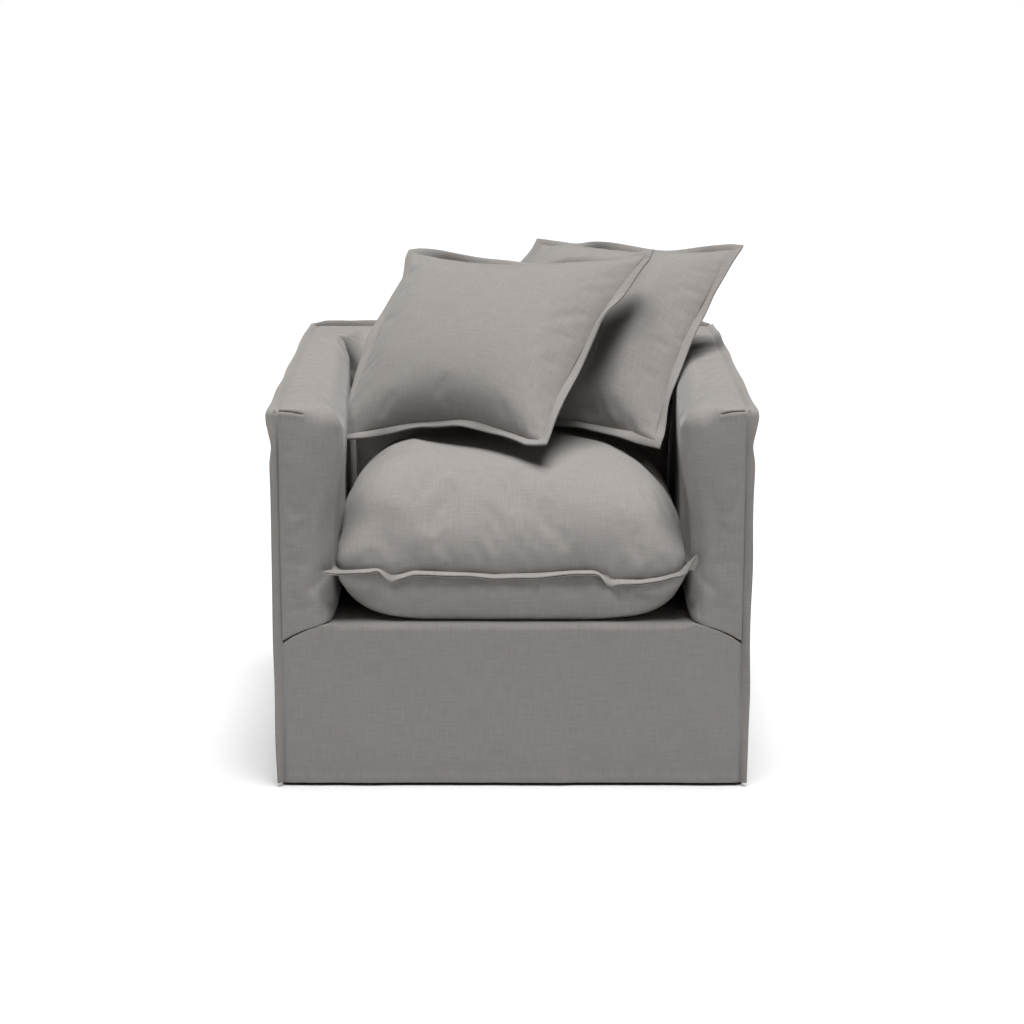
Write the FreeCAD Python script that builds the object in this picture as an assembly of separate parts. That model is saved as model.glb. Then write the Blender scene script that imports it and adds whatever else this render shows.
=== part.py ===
"""Low upholstered armchair in a loose cover, as separate pieces, in millimetres.

+Z is up, the chair faces -Y, and the origin is on the floor under the middle of the chair.
Pieces named left lie at -X. A hardwood frame carries springs, webbing, boards and foam. The
loose cover is sewn from panels with flanged seams, and a flanged seat cushion and two flanged
scatter pillows lie on it.
"""

import FreeCAD
import Part

import math
import os

from FreeCAD import Vector

# Overall sizes
body_width = 775.0
overall_depth = 800.0
arm_height = 645.0
back_height = 675.0
hem_gap = 5.0
deck_height = 283.0

# Cloth
cloth = 2.0
flange_width = 12.5
flange_thickness = 3.0
back_flange_height = 14.0

# Arms and back, as the cover shows them
arm_top_front = 106.5
arm_top_rear = 70.0
arm_lower = 81.5
bulge_low = arm_height - 125.0
waist_high = arm_height - 200.0
edge_radius = 28.0
back_thickness = 135.0
seam_drop = 37.0
seam_inner = 295.0
seam_outer_above_inner = 0.72

# Frame
rail_bottom = 110.0
rail_top = 230.0
rail_thickness = 28.0
post_width = 32.0
post_depth = 50.0
top_rail_height = 28.0
arm_rail_height = 30.0
stretcher_height = 40.0
stretcher_bottom = 292.0
stretcher_thickness = 24.0
block_leg = 80.0
block_height = 65.0

# Boards, webbing and padding
board = 3.0
arm_panel = 3.5
front_pad = 10.0
edge_roll_depth = 58.0
arm_pad = 28.0
back_top_pad = 20.0
webbing_width = 50.0
webbing_thickness = 1.5
upright_strips = 5
level_strips = 3
dust_cloth = 1.0

# Springs
spring_count = 5
spring_spacing = 112.0
wire_radius = 1.9
loop_width = 48.0
loop_radius = 12.0
wire_above_rail = 8.0
clip_length = 14.0
clip_width = 56.0
clip_height = 9.5
wire_clearance = 0.2
pad_clearance = 0.1

# Legs, glides and screws
leg_top = 46.0
leg_foot = 34.0
leg_centre_inset = 37.5
glide_height = 4.0
glide_radius = 14.0
bolt_radius = 4.0
bolt_in_leg = 40.0
bolt_in_block = 55.0
bolt_from_corner_x = 9.0
bolt_from_corner_y = 14.0
screw_radius = 2.5
screw_length = 52.0
screw_offset = 24.0
screw_height = 32.0
screw_clearance = 0.1

# Closure tape of the loose cover
tape_width = 25.0
tape_thickness = 1.5
tape_above_hem = 12.0
tape_length = 88.0

# Seat cushion
seat_clearance = 0.3
seat_side_gap = 1.0
seat_flange = 10.5
seat_front_flange = 12.0
seat_back_gap = 3.0
seat_thickness = 242.0
seat_flange_height = 84.0
seat_flange_thickness = 4.0
seat_radius = 58.0
core_clearance = 0.4

# Zip at the back of the seat cushion
zip_length = 460.0
zip_height = 18.0
zip_thickness = 1.0
zip_below_flange = 2.0
slider_width = 12.0
slider_depth = 4.5
slider_height = 9.0
slider_gap = 0.2
slider_end_margin = 4.0
pull_width = 5.0
pull_length = 16.0
pull_thickness = 1.4

# Scatter pillows: half width without the flange, half thickness, flange
pillow_half = 220.0
pillow_half_thickness = 75.0
pillow_flange = 15.0
pillow_ply = 1.5
pillow_rim_inset = 4.0
pillow_rim_trim = 0.6
pillow_corner_radius = 50.0
# Centre, then turn about Z, slope of the face from level, and turn in its own plane
left_pillow_centre = Vector(-29.0, -12.0, 689.4)
left_pillow_angles = (-36.4, 38.7, 9.8)
right_pillow_centre = Vector(125.0, 141.0, 688.8)
right_pillow_angles = (-30.1, 40.2, 0.0)

# Worked out from the sizes above
half_body = body_width / 2
front = -overall_depth / 2
rear = overall_depth / 2
front_inner = front + cloth
rear_inner = rear - cloth
cover_inner = half_body - cloth
frame_outer = cover_inner - board
frame_inner = frame_outer - post_width
panel_inner = frame_inner - arm_panel
frame_front = front_inner + front_pad
frame_rear = rear_inner - board
back_post_front = frame_rear - post_depth
back_face = rear - back_thickness
deck_top = deck_height
deck_cloth_bottom = deck_top - cloth
wire_height = rail_top + wire_above_rail
deck_pad_bottom = wire_height + wire_radius + pad_clearance
back_top_rail_top = back_height - cloth - back_top_pad
back_top_rail_bottom = back_top_rail_top - top_rail_height


def box(x0, x1, y0, y1, z0, z1):
    return Part.makeBox(x1 - x0, y1 - y0, z1 - z0, Vector(x0, y0, z0))


def side_prism(points, x0, x1):
    """A prism along X over an outline of (y, z) points."""
    wire = Part.makePolygon([Vector(x0, y, z) for y, z in points + points[:1]])
    return Part.Face(wire).extrude(Vector(x1 - x0, 0, 0))


def mirrored(shape):
    return shape.mirror(Vector(0, 0, 0), Vector(1, 0, 0))


def arm_top(y):
    """Height of the arm's top, which rises to the back and then runs level."""
    share = min(1.0, (y - front) / (back_face - front))
    return arm_height + (back_height - arm_height) * share


def arm_inner(y):
    """Half the gap between the arms at their top."""
    share = (y - front) / (back_face - front)
    return half_body - arm_top_front - (arm_top_rear - arm_top_front) * share


def arm_outline(y, inset, bottom):
    """The right arm's section at y: flat top, rounded inner edge, bulge, waist."""
    outer = half_body - inset
    inner = arm_inner(y) + inset
    waist = half_body - arm_lower + inset
    top = arm_top(y) - inset
    radius = edge_radius - inset
    middle = radius * (1 - math.sqrt(0.5))
    at = lambda x, z: Vector(x, y, z)
    edges = [
        Part.makeLine(at(outer, bottom), at(outer, top)),
        Part.makeLine(at(outer, top), at(inner + radius, top)),
        Part.Arc(
            at(inner + radius, top), at(inner + middle, top - middle), at(inner, top - radius)
        ).toShape(),
        Part.makeLine(at(inner, top - radius), at(inner, bulge_low)),
        Part.makeLine(at(inner, bulge_low), at(waist, waist_high)),
        Part.makeLine(at(waist, waist_high), at(waist, bottom)),
        Part.makeLine(at(waist, bottom), at(outer, bottom)),
    ]
    return Part.Wire(edges)


def arm_block(inset):
    """The right arm from the front panel to the back, down to the deck."""
    sections = [arm_outline(y, inset, deck_top) for y in (front_inner, back_face)]
    return Part.makeLoft(sections, True, True)


def back_block(inset, half_width, bottom):
    """The back as a prism along X, with its top front edge rounded."""
    y0 = back_face + inset
    y1 = rear_inner
    top = back_height - inset
    radius = edge_radius - inset
    middle = radius * (1 - math.sqrt(0.5))
    at = lambda y, z: Vector(-half_width, y, z)
    edges = [
        Part.makeLine(at(y0, bottom), at(y0, top - radius)),
        Part.Arc(
            at(y0, top - radius), at(y0 + middle, top - middle), at(y0 + radius, top)
        ).toShape(),
        Part.makeLine(at(y0 + radius, top), at(y1, top)),
        Part.makeLine(at(y1, top), at(y1, bottom)),
        Part.makeLine(at(y1, bottom), at(y0, bottom)),
    ]
    return Part.Face(Part.Wire(edges)).extrude(Vector(2 * half_width, 0, 0))


def for_corners():
    """The signs of the four corners, left and right, front and rear."""
    return [(sx, sy) for sx in (-1, 1) for sy in (-1, 1)]


def inner_corner(sx, sy):
    """Where the inner faces of two seat rails meet."""
    y = frame_front + rail_thickness if sy < 0 else frame_rear - rail_thickness
    return Vector(sx * frame_inner, y, 0)


def leg_bolt(sx, sy, extra=0.0):
    """A bolt that runs up from the leg into the corner block."""
    corner = inner_corner(sx, sy)
    at = Vector(
        corner.x - sx * bolt_from_corner_x,
        corner.y - sy * bolt_from_corner_y,
        rail_bottom - bolt_in_leg,
    )
    return Part.makeCylinder(bolt_radius + extra, bolt_in_leg + bolt_in_block, at)


def corner_screws(sx, sy, extra=0.0):
    """Two screws through a corner block's long face into the rails."""
    corner = inner_corner(sx, sy)
    towards = Vector(sx, sy, 0).normalize()
    across = Vector(-sy, sx, 0).normalize()
    face = corner - towards * (block_leg / math.sqrt(2))
    face.z = rail_bottom + screw_height
    starts = [face + across * screw_offset * side for side in (-1, 1)]
    return [Part.makeCylinder(screw_radius + extra, screw_length, s, towards) for s in starts]


def drilled(shape):
    """The shape with clearance holes for every bolt and screw that meets it."""
    for sx, sy in for_corners():
        tools = [leg_bolt(sx, sy, screw_clearance)] + corner_screws(sx, sy, screw_clearance)
        for tool in tools:
            if shape.BoundBox.intersect(tool.BoundBox):
                shape = shape.cut(tool)
    return shape


def make_seat_rails():
    front_rail = box(
        -frame_inner, frame_inner, frame_front, frame_front + rail_thickness, rail_bottom, rail_top
    )
    back_rail = box(
        -frame_inner, frame_inner, frame_rear - rail_thickness, frame_rear, rail_bottom, rail_top
    )
    side_rail = box(
        frame_inner,
        frame_outer,
        frame_front + post_depth,
        back_post_front,
        rail_bottom,
        rail_top,
    )
    return {
        "front_rail": drilled(front_rail),
        "back_rail": drilled(back_rail),
        "side_rail_right": drilled(side_rail),
        "side_rail_left": drilled(mirrored(side_rail)),
    }


def arm_rail_under(y):
    return arm_top(y) - cloth - arm_pad - arm_rail_height


def make_posts():
    y0 = frame_front
    y1 = frame_front + post_depth
    outline = [(y0, rail_bottom), (y1, rail_bottom), (y1, arm_rail_under(y1)), (y0, arm_rail_under(y0))]
    front_post = side_prism(outline, frame_inner, frame_outer)
    back_post = box(
        frame_inner, frame_outer, back_post_front, frame_rear, rail_bottom, back_top_rail_bottom
    )
    return {
        "front_post_right": drilled(front_post),
        "front_post_left": drilled(mirrored(front_post)),
        "back_post_right": drilled(back_post),
        "back_post_left": drilled(mirrored(back_post)),
    }


def arm_rail_outline():
    y0 = frame_front
    y1 = back_post_front
    tops = [(y, arm_rail_under(y) + arm_rail_height) for y in (y1, back_face, y0)]
    under = [(y, arm_rail_under(y)) for y in (y0, back_face, y1)]
    return under + tops


def make_upper_rails():
    arm_rail = side_prism(arm_rail_outline(), frame_inner, frame_outer)
    arm_stretcher = box(
        frame_inner,
        frame_inner + stretcher_thickness,
        frame_front + post_depth,
        back_post_front,
        stretcher_bottom,
        stretcher_bottom + stretcher_height,
    )
    back_top_rail = box(
        -frame_outer,
        frame_outer,
        back_post_front,
        frame_rear,
        back_top_rail_bottom,
        back_top_rail_top,
    )
    back_stretcher = box(
        -frame_inner,
        frame_inner,
        back_post_front,
        back_post_front + stretcher_thickness,
        stretcher_bottom,
        stretcher_bottom + stretcher_height,
    )
    return {
        "arm_rail_right": arm_rail,
        "arm_rail_left": mirrored(arm_rail),
        "arm_stretcher_right": arm_stretcher,
        "arm_stretcher_left": mirrored(arm_stretcher),
        "back_top_rail": back_top_rail,
        "back_stretcher": back_stretcher,
    }


def make_corner_blocks():
    blocks = []
    for sx, sy in for_corners():
        corner = inner_corner(sx, sy)
        points = [
            corner,
            corner - Vector(sx * block_leg, 0, 0),
            corner - Vector(0, sy * block_leg, 0),
        ]
        raised = [p + Vector(0, 0, rail_bottom) for p in points + points[:1]]
        block = Part.Face(Part.makePolygon(raised)).extrude(Vector(0, 0, block_height))
        blocks.append(drilled(block))
    return Part.makeCompound(blocks)


def leg_centre(sx, sy):
    y = frame_front + leg_centre_inset if sy < 0 else frame_rear - leg_centre_inset
    return Vector(sx * (frame_outer - leg_centre_inset), y, 0)


def square(centre, side, z):
    h = side / 2
    corners = [(-h, -h), (h, -h), (h, h), (-h, h), (-h, -h)]
    return Part.makePolygon([Vector(centre.x + x, centre.y + y, z) for x, y in corners])


def make_legs():
    legs = []
    glides = []
    for sx, sy in for_corners():
        centre = leg_centre(sx, sy)
        sections = [square(centre, leg_foot, glide_height), square(centre, leg_top, rail_bottom)]
        legs.append(drilled(Part.makeLoft(sections, True, True)))
        glides.append(Part.makeCylinder(glide_radius, glide_height, centre))
    return {"legs": Part.makeCompound(legs), "leg_glides": Part.makeCompound(glides)}


def make_fasteners():
    bolts = [leg_bolt(sx, sy) for sx, sy in for_corners()]
    screws = []
    for sx, sy in for_corners():
        screws += corner_screws(sx, sy)
    return {"leg_bolts": Part.makeCompound(bolts), "corner_screws": Part.makeCompound(screws)}


def spring_path(x, y0, y1):
    """A sinuous wire in the plane at wire_height: bars along X joined by half turns."""
    half = loop_width / 2 - loop_radius
    pitch = 2 * loop_radius
    bars = int((y1 - y0) // pitch)
    first = (y0 + y1 - bars * pitch) / 2
    edges = []
    for i in range(bars + 1):
        y = first + i * pitch
        side = 1 if i % 2 == 0 else -1
        start = Vector(x - side * half, y, wire_height)
        end = Vector(x + side * half, y, wire_height)
        edges.append(Part.makeLine(start, end))
        if i < bars:
            turn = Vector(x + side * (half + loop_radius), y + loop_radius, wire_height)
            after = Vector(x + side * half, y + pitch, wire_height)
            edges.append(Part.Arc(end, turn, after).toShape())
    return Part.Wire(edges), first, first + bars * pitch


def spring_places():
    middle = (spring_count - 1) / 2
    return [(i - middle) * spring_spacing for i in range(spring_count)]


def make_springs():
    y0 = frame_front + rail_thickness / 2
    y1 = frame_rear - rail_thickness / 2
    springs = []
    clips = []
    for x in spring_places():
        path, first, last = spring_path(x, y0, y1)
        start = path.Edges[0].Vertexes[0].Point
        ring = Part.Wire(Part.makeCircle(wire_radius, start, Vector(1, 0, 0)))
        springs.append(path.makePipeShell([ring], True, True))
        for y in (first, last):
            clip = box(
                x - clip_width / 2,
                x + clip_width / 2,
                y - clip_length / 2,
                y + clip_length / 2,
                rail_top,
                rail_top + clip_height,
            )
            seat = springs[-1].BoundBox
            slot = box(
                seat.XMin - 1,
                seat.XMax + 1,
                y - wire_radius - wire_clearance,
                y + wire_radius + wire_clearance,
                wire_height - wire_radius,
                rail_top + clip_height,
            )
            inward = 1 if y < 0 else -1
            mouth = box(
                seat.XMin - 1,
                seat.XMax + 1,
                min(y, y + inward * clip_length),
                max(y, y + inward * clip_length),
                wire_height - wire_radius,
                rail_top + clip_height,
            )
            clips.append(clip.cut(slot).cut(mouth))
    return {"seat_springs": Part.makeCompound(springs), "spring_clips": Part.makeCompound(clips)}


def make_back_webbing():
    """Upright strips on the back frame, and level strips laid over them."""
    strips = []
    y1 = back_post_front
    y0 = y1 - webbing_thickness
    spacing = 2 * frame_inner / (upright_strips + 1)
    for i in range(upright_strips):
        x = (i + 1) * spacing - frame_inner
        strips.append(
            box(
                x - webbing_width / 2,
                x + webbing_width / 2,
                y0,
                y1,
                stretcher_bottom + stretcher_height / 4,
                back_top_rail_top - top_rail_height / 4,
            )
        )
    low = stretcher_bottom + stretcher_height
    gap = (back_top_rail_bottom - low) / (level_strips + 1)
    for i in range(level_strips):
        z = low + (i + 1) * gap
        strips.append(
            box(
                -panel_inner,
                panel_inner,
                y0 - webbing_thickness,
                y0,
                z - webbing_width / 2,
                z + webbing_width / 2,
            )
        )
    return Part.makeCompound(strips)


def make_boards():
    y0 = frame_front
    y1 = frame_rear
    tops = [(y1, back_top_rail_top), (back_post_front, back_top_rail_top)]
    tops += [(y, arm_rail_under(y) + arm_rail_height) for y in (back_post_front, back_face, y0)]
    side_board = side_prism([(y0, rail_bottom), (y1, rail_bottom)] + tops, frame_outer, cover_inner)
    panel_tops = [(y, arm_rail_under(y) + arm_rail_height) for y in (back_post_front, back_face, y0)]
    panel_outline = [(y0, rail_top), (back_post_front, rail_top)] + panel_tops
    panel = side_prism(panel_outline, panel_inner, frame_inner)
    panel = panel.cut(box(0, half_body, y0, y0 + rail_thickness, 0, rail_top))
    back_board = box(
        -cover_inner, cover_inner, frame_rear, rear_inner, rail_bottom, back_top_rail_top
    )
    return {
        "side_board_right": side_board,
        "side_board_left": mirrored(side_board),
        "arm_panel_right": panel,
        "arm_panel_left": mirrored(panel),
        "back_board": back_board,
    }


def without_arm_ends(shape):
    """The back's shape without the room that the arm frames take in it."""
    tops = [(y, arm_rail_under(y) + arm_rail_height) for y in (back_post_front, back_face)]
    outline = [(back_face, 0), (back_post_front, 0)] + tops
    for side in (-1, 1):
        shape = shape.cut(side_prism(outline, side * panel_inner, side * half_body))
    return shape


def make_padding():
    """Foam of the arms, the back, the front edge and the deck."""
    rail_tops = [(y, arm_rail_under(y) + arm_rail_height) for y in (back_face, frame_front)]
    hollow_outline = [(frame_front, 0), (back_face, 0)] + rail_tops
    hollow = side_prism(hollow_outline, panel_inner, half_body)
    arm_foam = arm_block(cloth).cut(hollow)
    webbing_front = back_post_front - 2 * webbing_thickness
    back_foam = without_arm_ends(back_block(cloth, cover_inner, deck_top))
    back_foam = back_foam.cut(
        box(-half_body, half_body, webbing_front, rear, 0, back_top_rail_top)
    )
    front_sheet = box(
        -cover_inner, cover_inner, front_inner, frame_front, rail_bottom, deck_cloth_bottom
    )
    roll = box(
        -panel_inner,
        panel_inner,
        frame_front,
        frame_front + edge_roll_depth,
        deck_pad_bottom,
        deck_cloth_bottom,
    )
    deck_pad = box(
        -panel_inner,
        panel_inner,
        frame_front + edge_roll_depth,
        webbing_front,
        deck_pad_bottom,
        deck_cloth_bottom,
    )
    return {
        "arm_foam_right": arm_foam,
        "arm_foam_left": mirrored(arm_foam),
        "back_foam": back_foam,
        "front_edge_pad": front_sheet.fuse(roll).removeSplitter(),
        "deck_pad": deck_pad,
    }


def make_dust_cover():
    sheet = box(
        -frame_outer, frame_outer, frame_front, frame_rear, rail_bottom - dust_cloth, rail_bottom
    )
    for sx, sy in for_corners():
        centre = leg_centre(sx, sy)
        h = leg_top / 2 + dust_cloth
        sheet = sheet.cut(box(centre.x - h, centre.x + h, centre.y - h, centre.y + h, 0, rail_top))
    return sheet


def front_apron():
    """The front panel up to the deck, falling in a curve under each arm's front panel."""
    low = deck_top - seam_drop
    run = half_body - seam_inner
    at = lambda x, z: Vector(x, front, z)
    bow = deck_top - seam_drop * (1 - seam_outer_above_inner)
    middle = seam_inner + run / 2
    edges = [
        Part.makeLine(at(-half_body, hem_gap), at(half_body, hem_gap)),
        Part.makeLine(at(half_body, hem_gap), at(half_body, low)),
        Part.Arc(at(half_body, low), at(middle, bow), at(seam_inner, deck_top)).toShape(),
        Part.makeLine(at(seam_inner, deck_top), at(-seam_inner, deck_top)),
        Part.Arc(at(-seam_inner, deck_top), at(-middle, bow), at(-half_body, low)).toShape(),
        Part.makeLine(at(-half_body, low), at(-half_body, hem_gap)),
    ]
    return Part.Face(Part.Wire(edges)).extrude(Vector(0, cloth, 0))


def make_cover():
    """The sewn panels of the loose cover."""
    apron = front_apron()
    outline = arm_outline(front, 0.0, deck_top - seam_drop)
    arm_front = Part.Face(outline).extrude(Vector(0, cloth, 0)).cut(apron)
    outer_wall = box(cover_inner, half_body + 1, front, rear, 0, back_height + 1)
    inside_arm = arm_block(0.0).cut(arm_block(cloth)).cut(outer_wall)
    tops = [(y, arm_top(y)) for y in (rear_inner, back_face, front_inner)]
    side_outline = [(front_inner, hem_gap), (rear_inner, hem_gap)] + tops
    outside_arm = side_prism(side_outline, cover_inner, half_body)
    inside_back = back_block(0.0, cover_inner, deck_top).cut(
        back_block(cloth, cover_inner + 1, deck_top - 1)
    )
    inside_back = without_arm_ends(inside_back)
    outside_back = box(-half_body, half_body, rear_inner, rear, hem_gap, back_height)
    deck_rear = back_post_front - 2 * webbing_thickness
    deck = box(-panel_inner, panel_inner, front_inner, deck_rear, deck_cloth_bottom, deck_top)
    return {
        "cover_front_apron": apron,
        "cover_arm_front_right": arm_front,
        "cover_arm_front_left": mirrored(arm_front),
        "cover_inside_arm_right": inside_arm,
        "cover_inside_arm_left": mirrored(inside_arm),
        "cover_outside_arm_right": outside_arm,
        "cover_outside_arm_left": mirrored(outside_arm),
        "cover_inside_back": inside_back,
        "cover_outside_back": outside_back,
        "cover_deck": deck,
    }


def make_flanges():
    """Double plies of cloth that stand out of the seams."""
    outer = half_body + flange_width
    tops = [(y, arm_top(y)) for y in (front, back_face, rear)]
    unders = [(y, arm_top(y) - flange_thickness) for y in (rear, back_face, front)]
    top_strip = side_prism(tops + unders, half_body, outer)
    corner_strip = box(
        half_body, outer, front, front + flange_thickness, hem_gap, arm_height - flange_thickness
    )
    side = top_strip.fuse(corner_strip).removeSplitter()
    back = box(
        -half_body,
        half_body,
        rear - flange_thickness,
        rear,
        back_height,
        back_height + back_flange_height,
    )
    return {
        "cover_flange_right": side,
        "cover_flange_left": mirrored(side),
        "cover_flange_back": back,
    }


def make_closure_tape():
    """Hook and loop strips that close the cover's back panel below the frame."""
    z0 = hem_gap + tape_above_hem
    strips = []
    for side in (-1, 1):
        x = side * (cover_inner - tape_width / 2 - cloth)
        for layer in (0, 1):
            y1 = rear_inner - layer * tape_thickness
            strips.append(
                box(
                    x - tape_width / 2,
                    x + tape_width / 2,
                    y1 - tape_thickness,
                    y1,
                    z0,
                    z0 + tape_length,
                )
            )
    return Part.makeCompound(strips)


def rounded_box(half_width, y0, y1, z0, z1, radius):
    """A box with its uprights rounded, and its rims a little less."""
    tolerance = 0.01
    rim_radius = radius - 2
    body = box(-half_width, half_width, y0, y1, z0, z1)
    uprights = [e for e in body.Edges if abs(e.Vertexes[0].Z - e.Vertexes[1].Z) > tolerance]
    body = body.makeFillet(radius, uprights)
    lows = [e for e in body.Edges if e.BoundBox.ZMax < z0 + tolerance]
    body = body.makeFillet(rim_radius, lows)
    highs = [e for e in body.Edges if e.BoundBox.ZMin > z1 - tolerance]
    return body.makeFillet(rim_radius, highs)


def seat_body(inset):
    half_width = half_body - arm_lower - seat_side_gap - seat_flange
    y0 = front + seat_front_flange
    y1 = back_face - seat_back_gap - seat_front_flange
    z0 = deck_top + seat_clearance
    return rounded_box(
        half_width - inset,
        y0 + inset,
        y1 - inset,
        z0 + inset,
        z0 + seat_thickness - inset,
        seat_radius - inset,
    )


def make_seat_cushion():
    """Foam core, upper and lower cover panels, and the flange between them."""
    outer = seat_body(0.0)
    inner = seat_body(cloth)
    core = seat_body(cloth + core_clearance)
    shell = outer.cut(inner)
    bound = outer.BoundBox
    low = deck_top + seat_clearance + seat_flange_height
    high = low + seat_flange_thickness
    wide = half_body
    above = box(-wide, wide, front - 1, rear, high, back_height)
    below = box(-wide, wide, front - 1, rear, 0, low)
    ring = box(
        bound.XMin - seat_flange,
        bound.XMax + seat_flange,
        bound.YMin - seat_front_flange,
        bound.YMax + seat_front_flange,
        low,
        high,
    ).cut(inner)
    return {
        "seat_cushion_core": core,
        "seat_cushion_top": shell.common(above),
        "seat_cushion_bottom": shell.common(below),
        "seat_cushion_flange": ring,
    }


def make_seat_zip():
    """A zip tape on the back of the lower panel, and its slider at the closed end."""
    y0 = seat_body(0.0).BoundBox.YMax
    top = deck_top + seat_clearance + seat_flange_height - zip_below_flange
    tape = box(-zip_length / 2, zip_length / 2, y0, y0 + zip_thickness, top - zip_height, top)
    x0 = -zip_length / 2 + slider_end_margin
    face = y0 + zip_thickness + slider_gap
    z0 = top - zip_height / 2 - slider_height / 2
    slider = box(x0, x0 + slider_width, face, face + slider_depth, z0, z0 + slider_height)
    middle = x0 + slider_width / 2
    pull = box(
        middle - pull_width / 2,
        middle + pull_width / 2,
        face + slider_depth - pull_thickness,
        face + slider_depth,
        z0 - pull_length,
        z0,
    )
    return {
        "seat_cushion_zip": tape,
        "seat_cushion_zip_slider": slider.fuse(pull).removeSplitter(),
    }


def rounded_square(reach, z0, z1):
    """A square slab about the middle, with its upright edges rounded."""
    slab = box(-reach, reach, -reach, reach, z0, z1)
    uprights = [e for e in slab.Edges if abs(e.tangentAt(e.FirstParameter).z) > 0.5]
    return slab.makeFillet(pillow_corner_radius, uprights)


def vault(half, rise):
    """A knife-edged pillow: two crossed prisms, each bounded by two arcs."""
    prisms = []
    for along in (Vector(1, 0, 0), Vector(0, 1, 0)):
        across = Vector(along.y, along.x, 0)
        ends = [across * -half - along * half, across * half - along * half]
        top = Vector(0, 0, rise) - along * half
        bottom = Vector(0, 0, -rise) - along * half
        edges = [
            Part.Arc(ends[0], top, ends[1]).toShape(),
            Part.Arc(ends[1], bottom, ends[0]).toShape(),
        ]
        prisms.append(Part.Face(Part.Wire(edges)).extrude(along * 2 * half))
    trim = rounded_square(half - pillow_rim_trim, -2 * rise, 2 * rise)
    return prisms[0].common(prisms[1]).common(trim)


def make_pillow(name, centre, angles):
    """Insert, front panel and back panel, each panel with one ply of the flange."""
    turn, slope, roll = angles
    rotation = (
        FreeCAD.Rotation(Vector(0, 0, 1), turn)
        .multiply(FreeCAD.Rotation(Vector(1, 0, 0), slope))
        .multiply(FreeCAD.Rotation(Vector(0, 0, 1), roll))
    )
    placement = FreeCAD.Placement(centre, rotation)
    deep = 2 * pillow_half_thickness
    reach = pillow_half + pillow_flange
    inner_half = pillow_half - pillow_rim_inset
    insert_half = inner_half - core_clearance
    inner_rise = pillow_half_thickness - cloth
    outer = vault(pillow_half, pillow_half_thickness)
    inner = vault(inner_half, inner_rise)
    insert = vault(insert_half, inner_rise - core_clearance)
    pieces = {name + "_insert": insert}
    for side, z0, z1, ply in (
        ("_front", 0, deep, (0, pillow_ply)),
        ("_back", -deep, 0, (-pillow_ply, 0)),
    ):
        panel = outer.common(box(-reach, reach, -reach, reach, z0, z1))
        flange = rounded_square(reach, *ply)
        pieces[name + side] = panel.fuse(flange).cut(inner)
    for shape in pieces.values():
        shape.Placement = placement
    return pieces


def all_pieces():
    pieces = {}
    for group in (
        make_seat_rails(),
        make_posts(),
        make_upper_rails(),
        {"corner_blocks": make_corner_blocks()},
        make_legs(),
        make_fasteners(),
        make_springs(),
        {"back_webbing": make_back_webbing()},
        make_boards(),
        make_padding(),
        {"dust_cover": make_dust_cover()},
        make_cover(),
        make_flanges(),
        {"closure_tape": make_closure_tape()},
        make_seat_cushion(),
        make_seat_zip(),
        make_pillow("right_pillow", right_pillow_centre, right_pillow_angles),
        make_pillow("left_pillow", left_pillow_centre, left_pillow_angles),
    ):
        pieces.update(group)
    return pieces


os.makedirs("parts", exist_ok=True)
for node, shape in all_pieces().items():
    shape.exportStep("parts/" + node + ".step")
    print(node, len(shape.Solids), round(shape.Volume / 1000.0, 1), "cm3", shape.isValid())
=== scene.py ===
"""Looks of a low armchair in a loose linen cover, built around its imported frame.

Units are metres, +Z is up, the chair faces -Y and the origin is on the floor under its middle.
Pieces named left lie at -X.
"""

import math

import bpy
import numpy as np
from bpy.props import FloatProperty, FloatVectorProperty, PointerProperty
from mathutils import Matrix, Vector, noise
from mathutils.bvhtree import BVHTree


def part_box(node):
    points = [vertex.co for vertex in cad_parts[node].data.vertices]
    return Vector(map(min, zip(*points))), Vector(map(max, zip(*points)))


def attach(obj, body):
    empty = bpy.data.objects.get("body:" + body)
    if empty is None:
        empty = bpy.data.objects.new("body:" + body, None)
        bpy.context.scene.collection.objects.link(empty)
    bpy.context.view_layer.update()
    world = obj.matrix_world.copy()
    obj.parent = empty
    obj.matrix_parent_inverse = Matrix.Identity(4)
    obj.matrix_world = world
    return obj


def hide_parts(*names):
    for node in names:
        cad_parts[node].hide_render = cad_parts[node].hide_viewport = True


bl_info = {
    "name": "Loose Cover Armchair",
    "version": (1, 0, 0),
    "blender": (4, 5, 0),
    "location": "View3D > Sidebar > Armchair",
    "description": "Builds the padding, cover, cushions and finishes of an armchair on its frame",
    "category": "Object",
}

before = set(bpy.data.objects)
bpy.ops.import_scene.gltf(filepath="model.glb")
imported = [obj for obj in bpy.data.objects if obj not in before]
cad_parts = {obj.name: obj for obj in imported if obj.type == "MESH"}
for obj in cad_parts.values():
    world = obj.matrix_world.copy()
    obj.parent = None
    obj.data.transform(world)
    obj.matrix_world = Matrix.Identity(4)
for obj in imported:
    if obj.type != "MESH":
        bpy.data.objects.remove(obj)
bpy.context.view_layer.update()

# Places read from the frame
APRON_LOW, APRON_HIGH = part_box("cover_front_apron")
SIDE = APRON_HIGH.x
FRONT = APRON_LOW.y
HEM = APRON_LOW.z
DECK = APRON_HIGH.z
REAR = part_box("cover_outside_back")[1].y
BACK_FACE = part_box("cover_inside_back")[0].y
BACK_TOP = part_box("cover_inside_back")[1].z
ARM_FRONT_LOW, ARM_FRONT_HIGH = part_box("cover_arm_front_right")
ARM_TOP_FRONT = ARM_FRONT_HIGH.z
ARM_INNER_FRONT = ARM_FRONT_LOW.x
SEAM_OUTER = ARM_FRONT_LOW.z
PANEL_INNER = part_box("arm_panel_right")[0].x
WEBBING_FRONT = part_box("back_webbing")[0].y
CUSHION_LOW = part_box("seat_cushion_bottom")[0]
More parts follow.
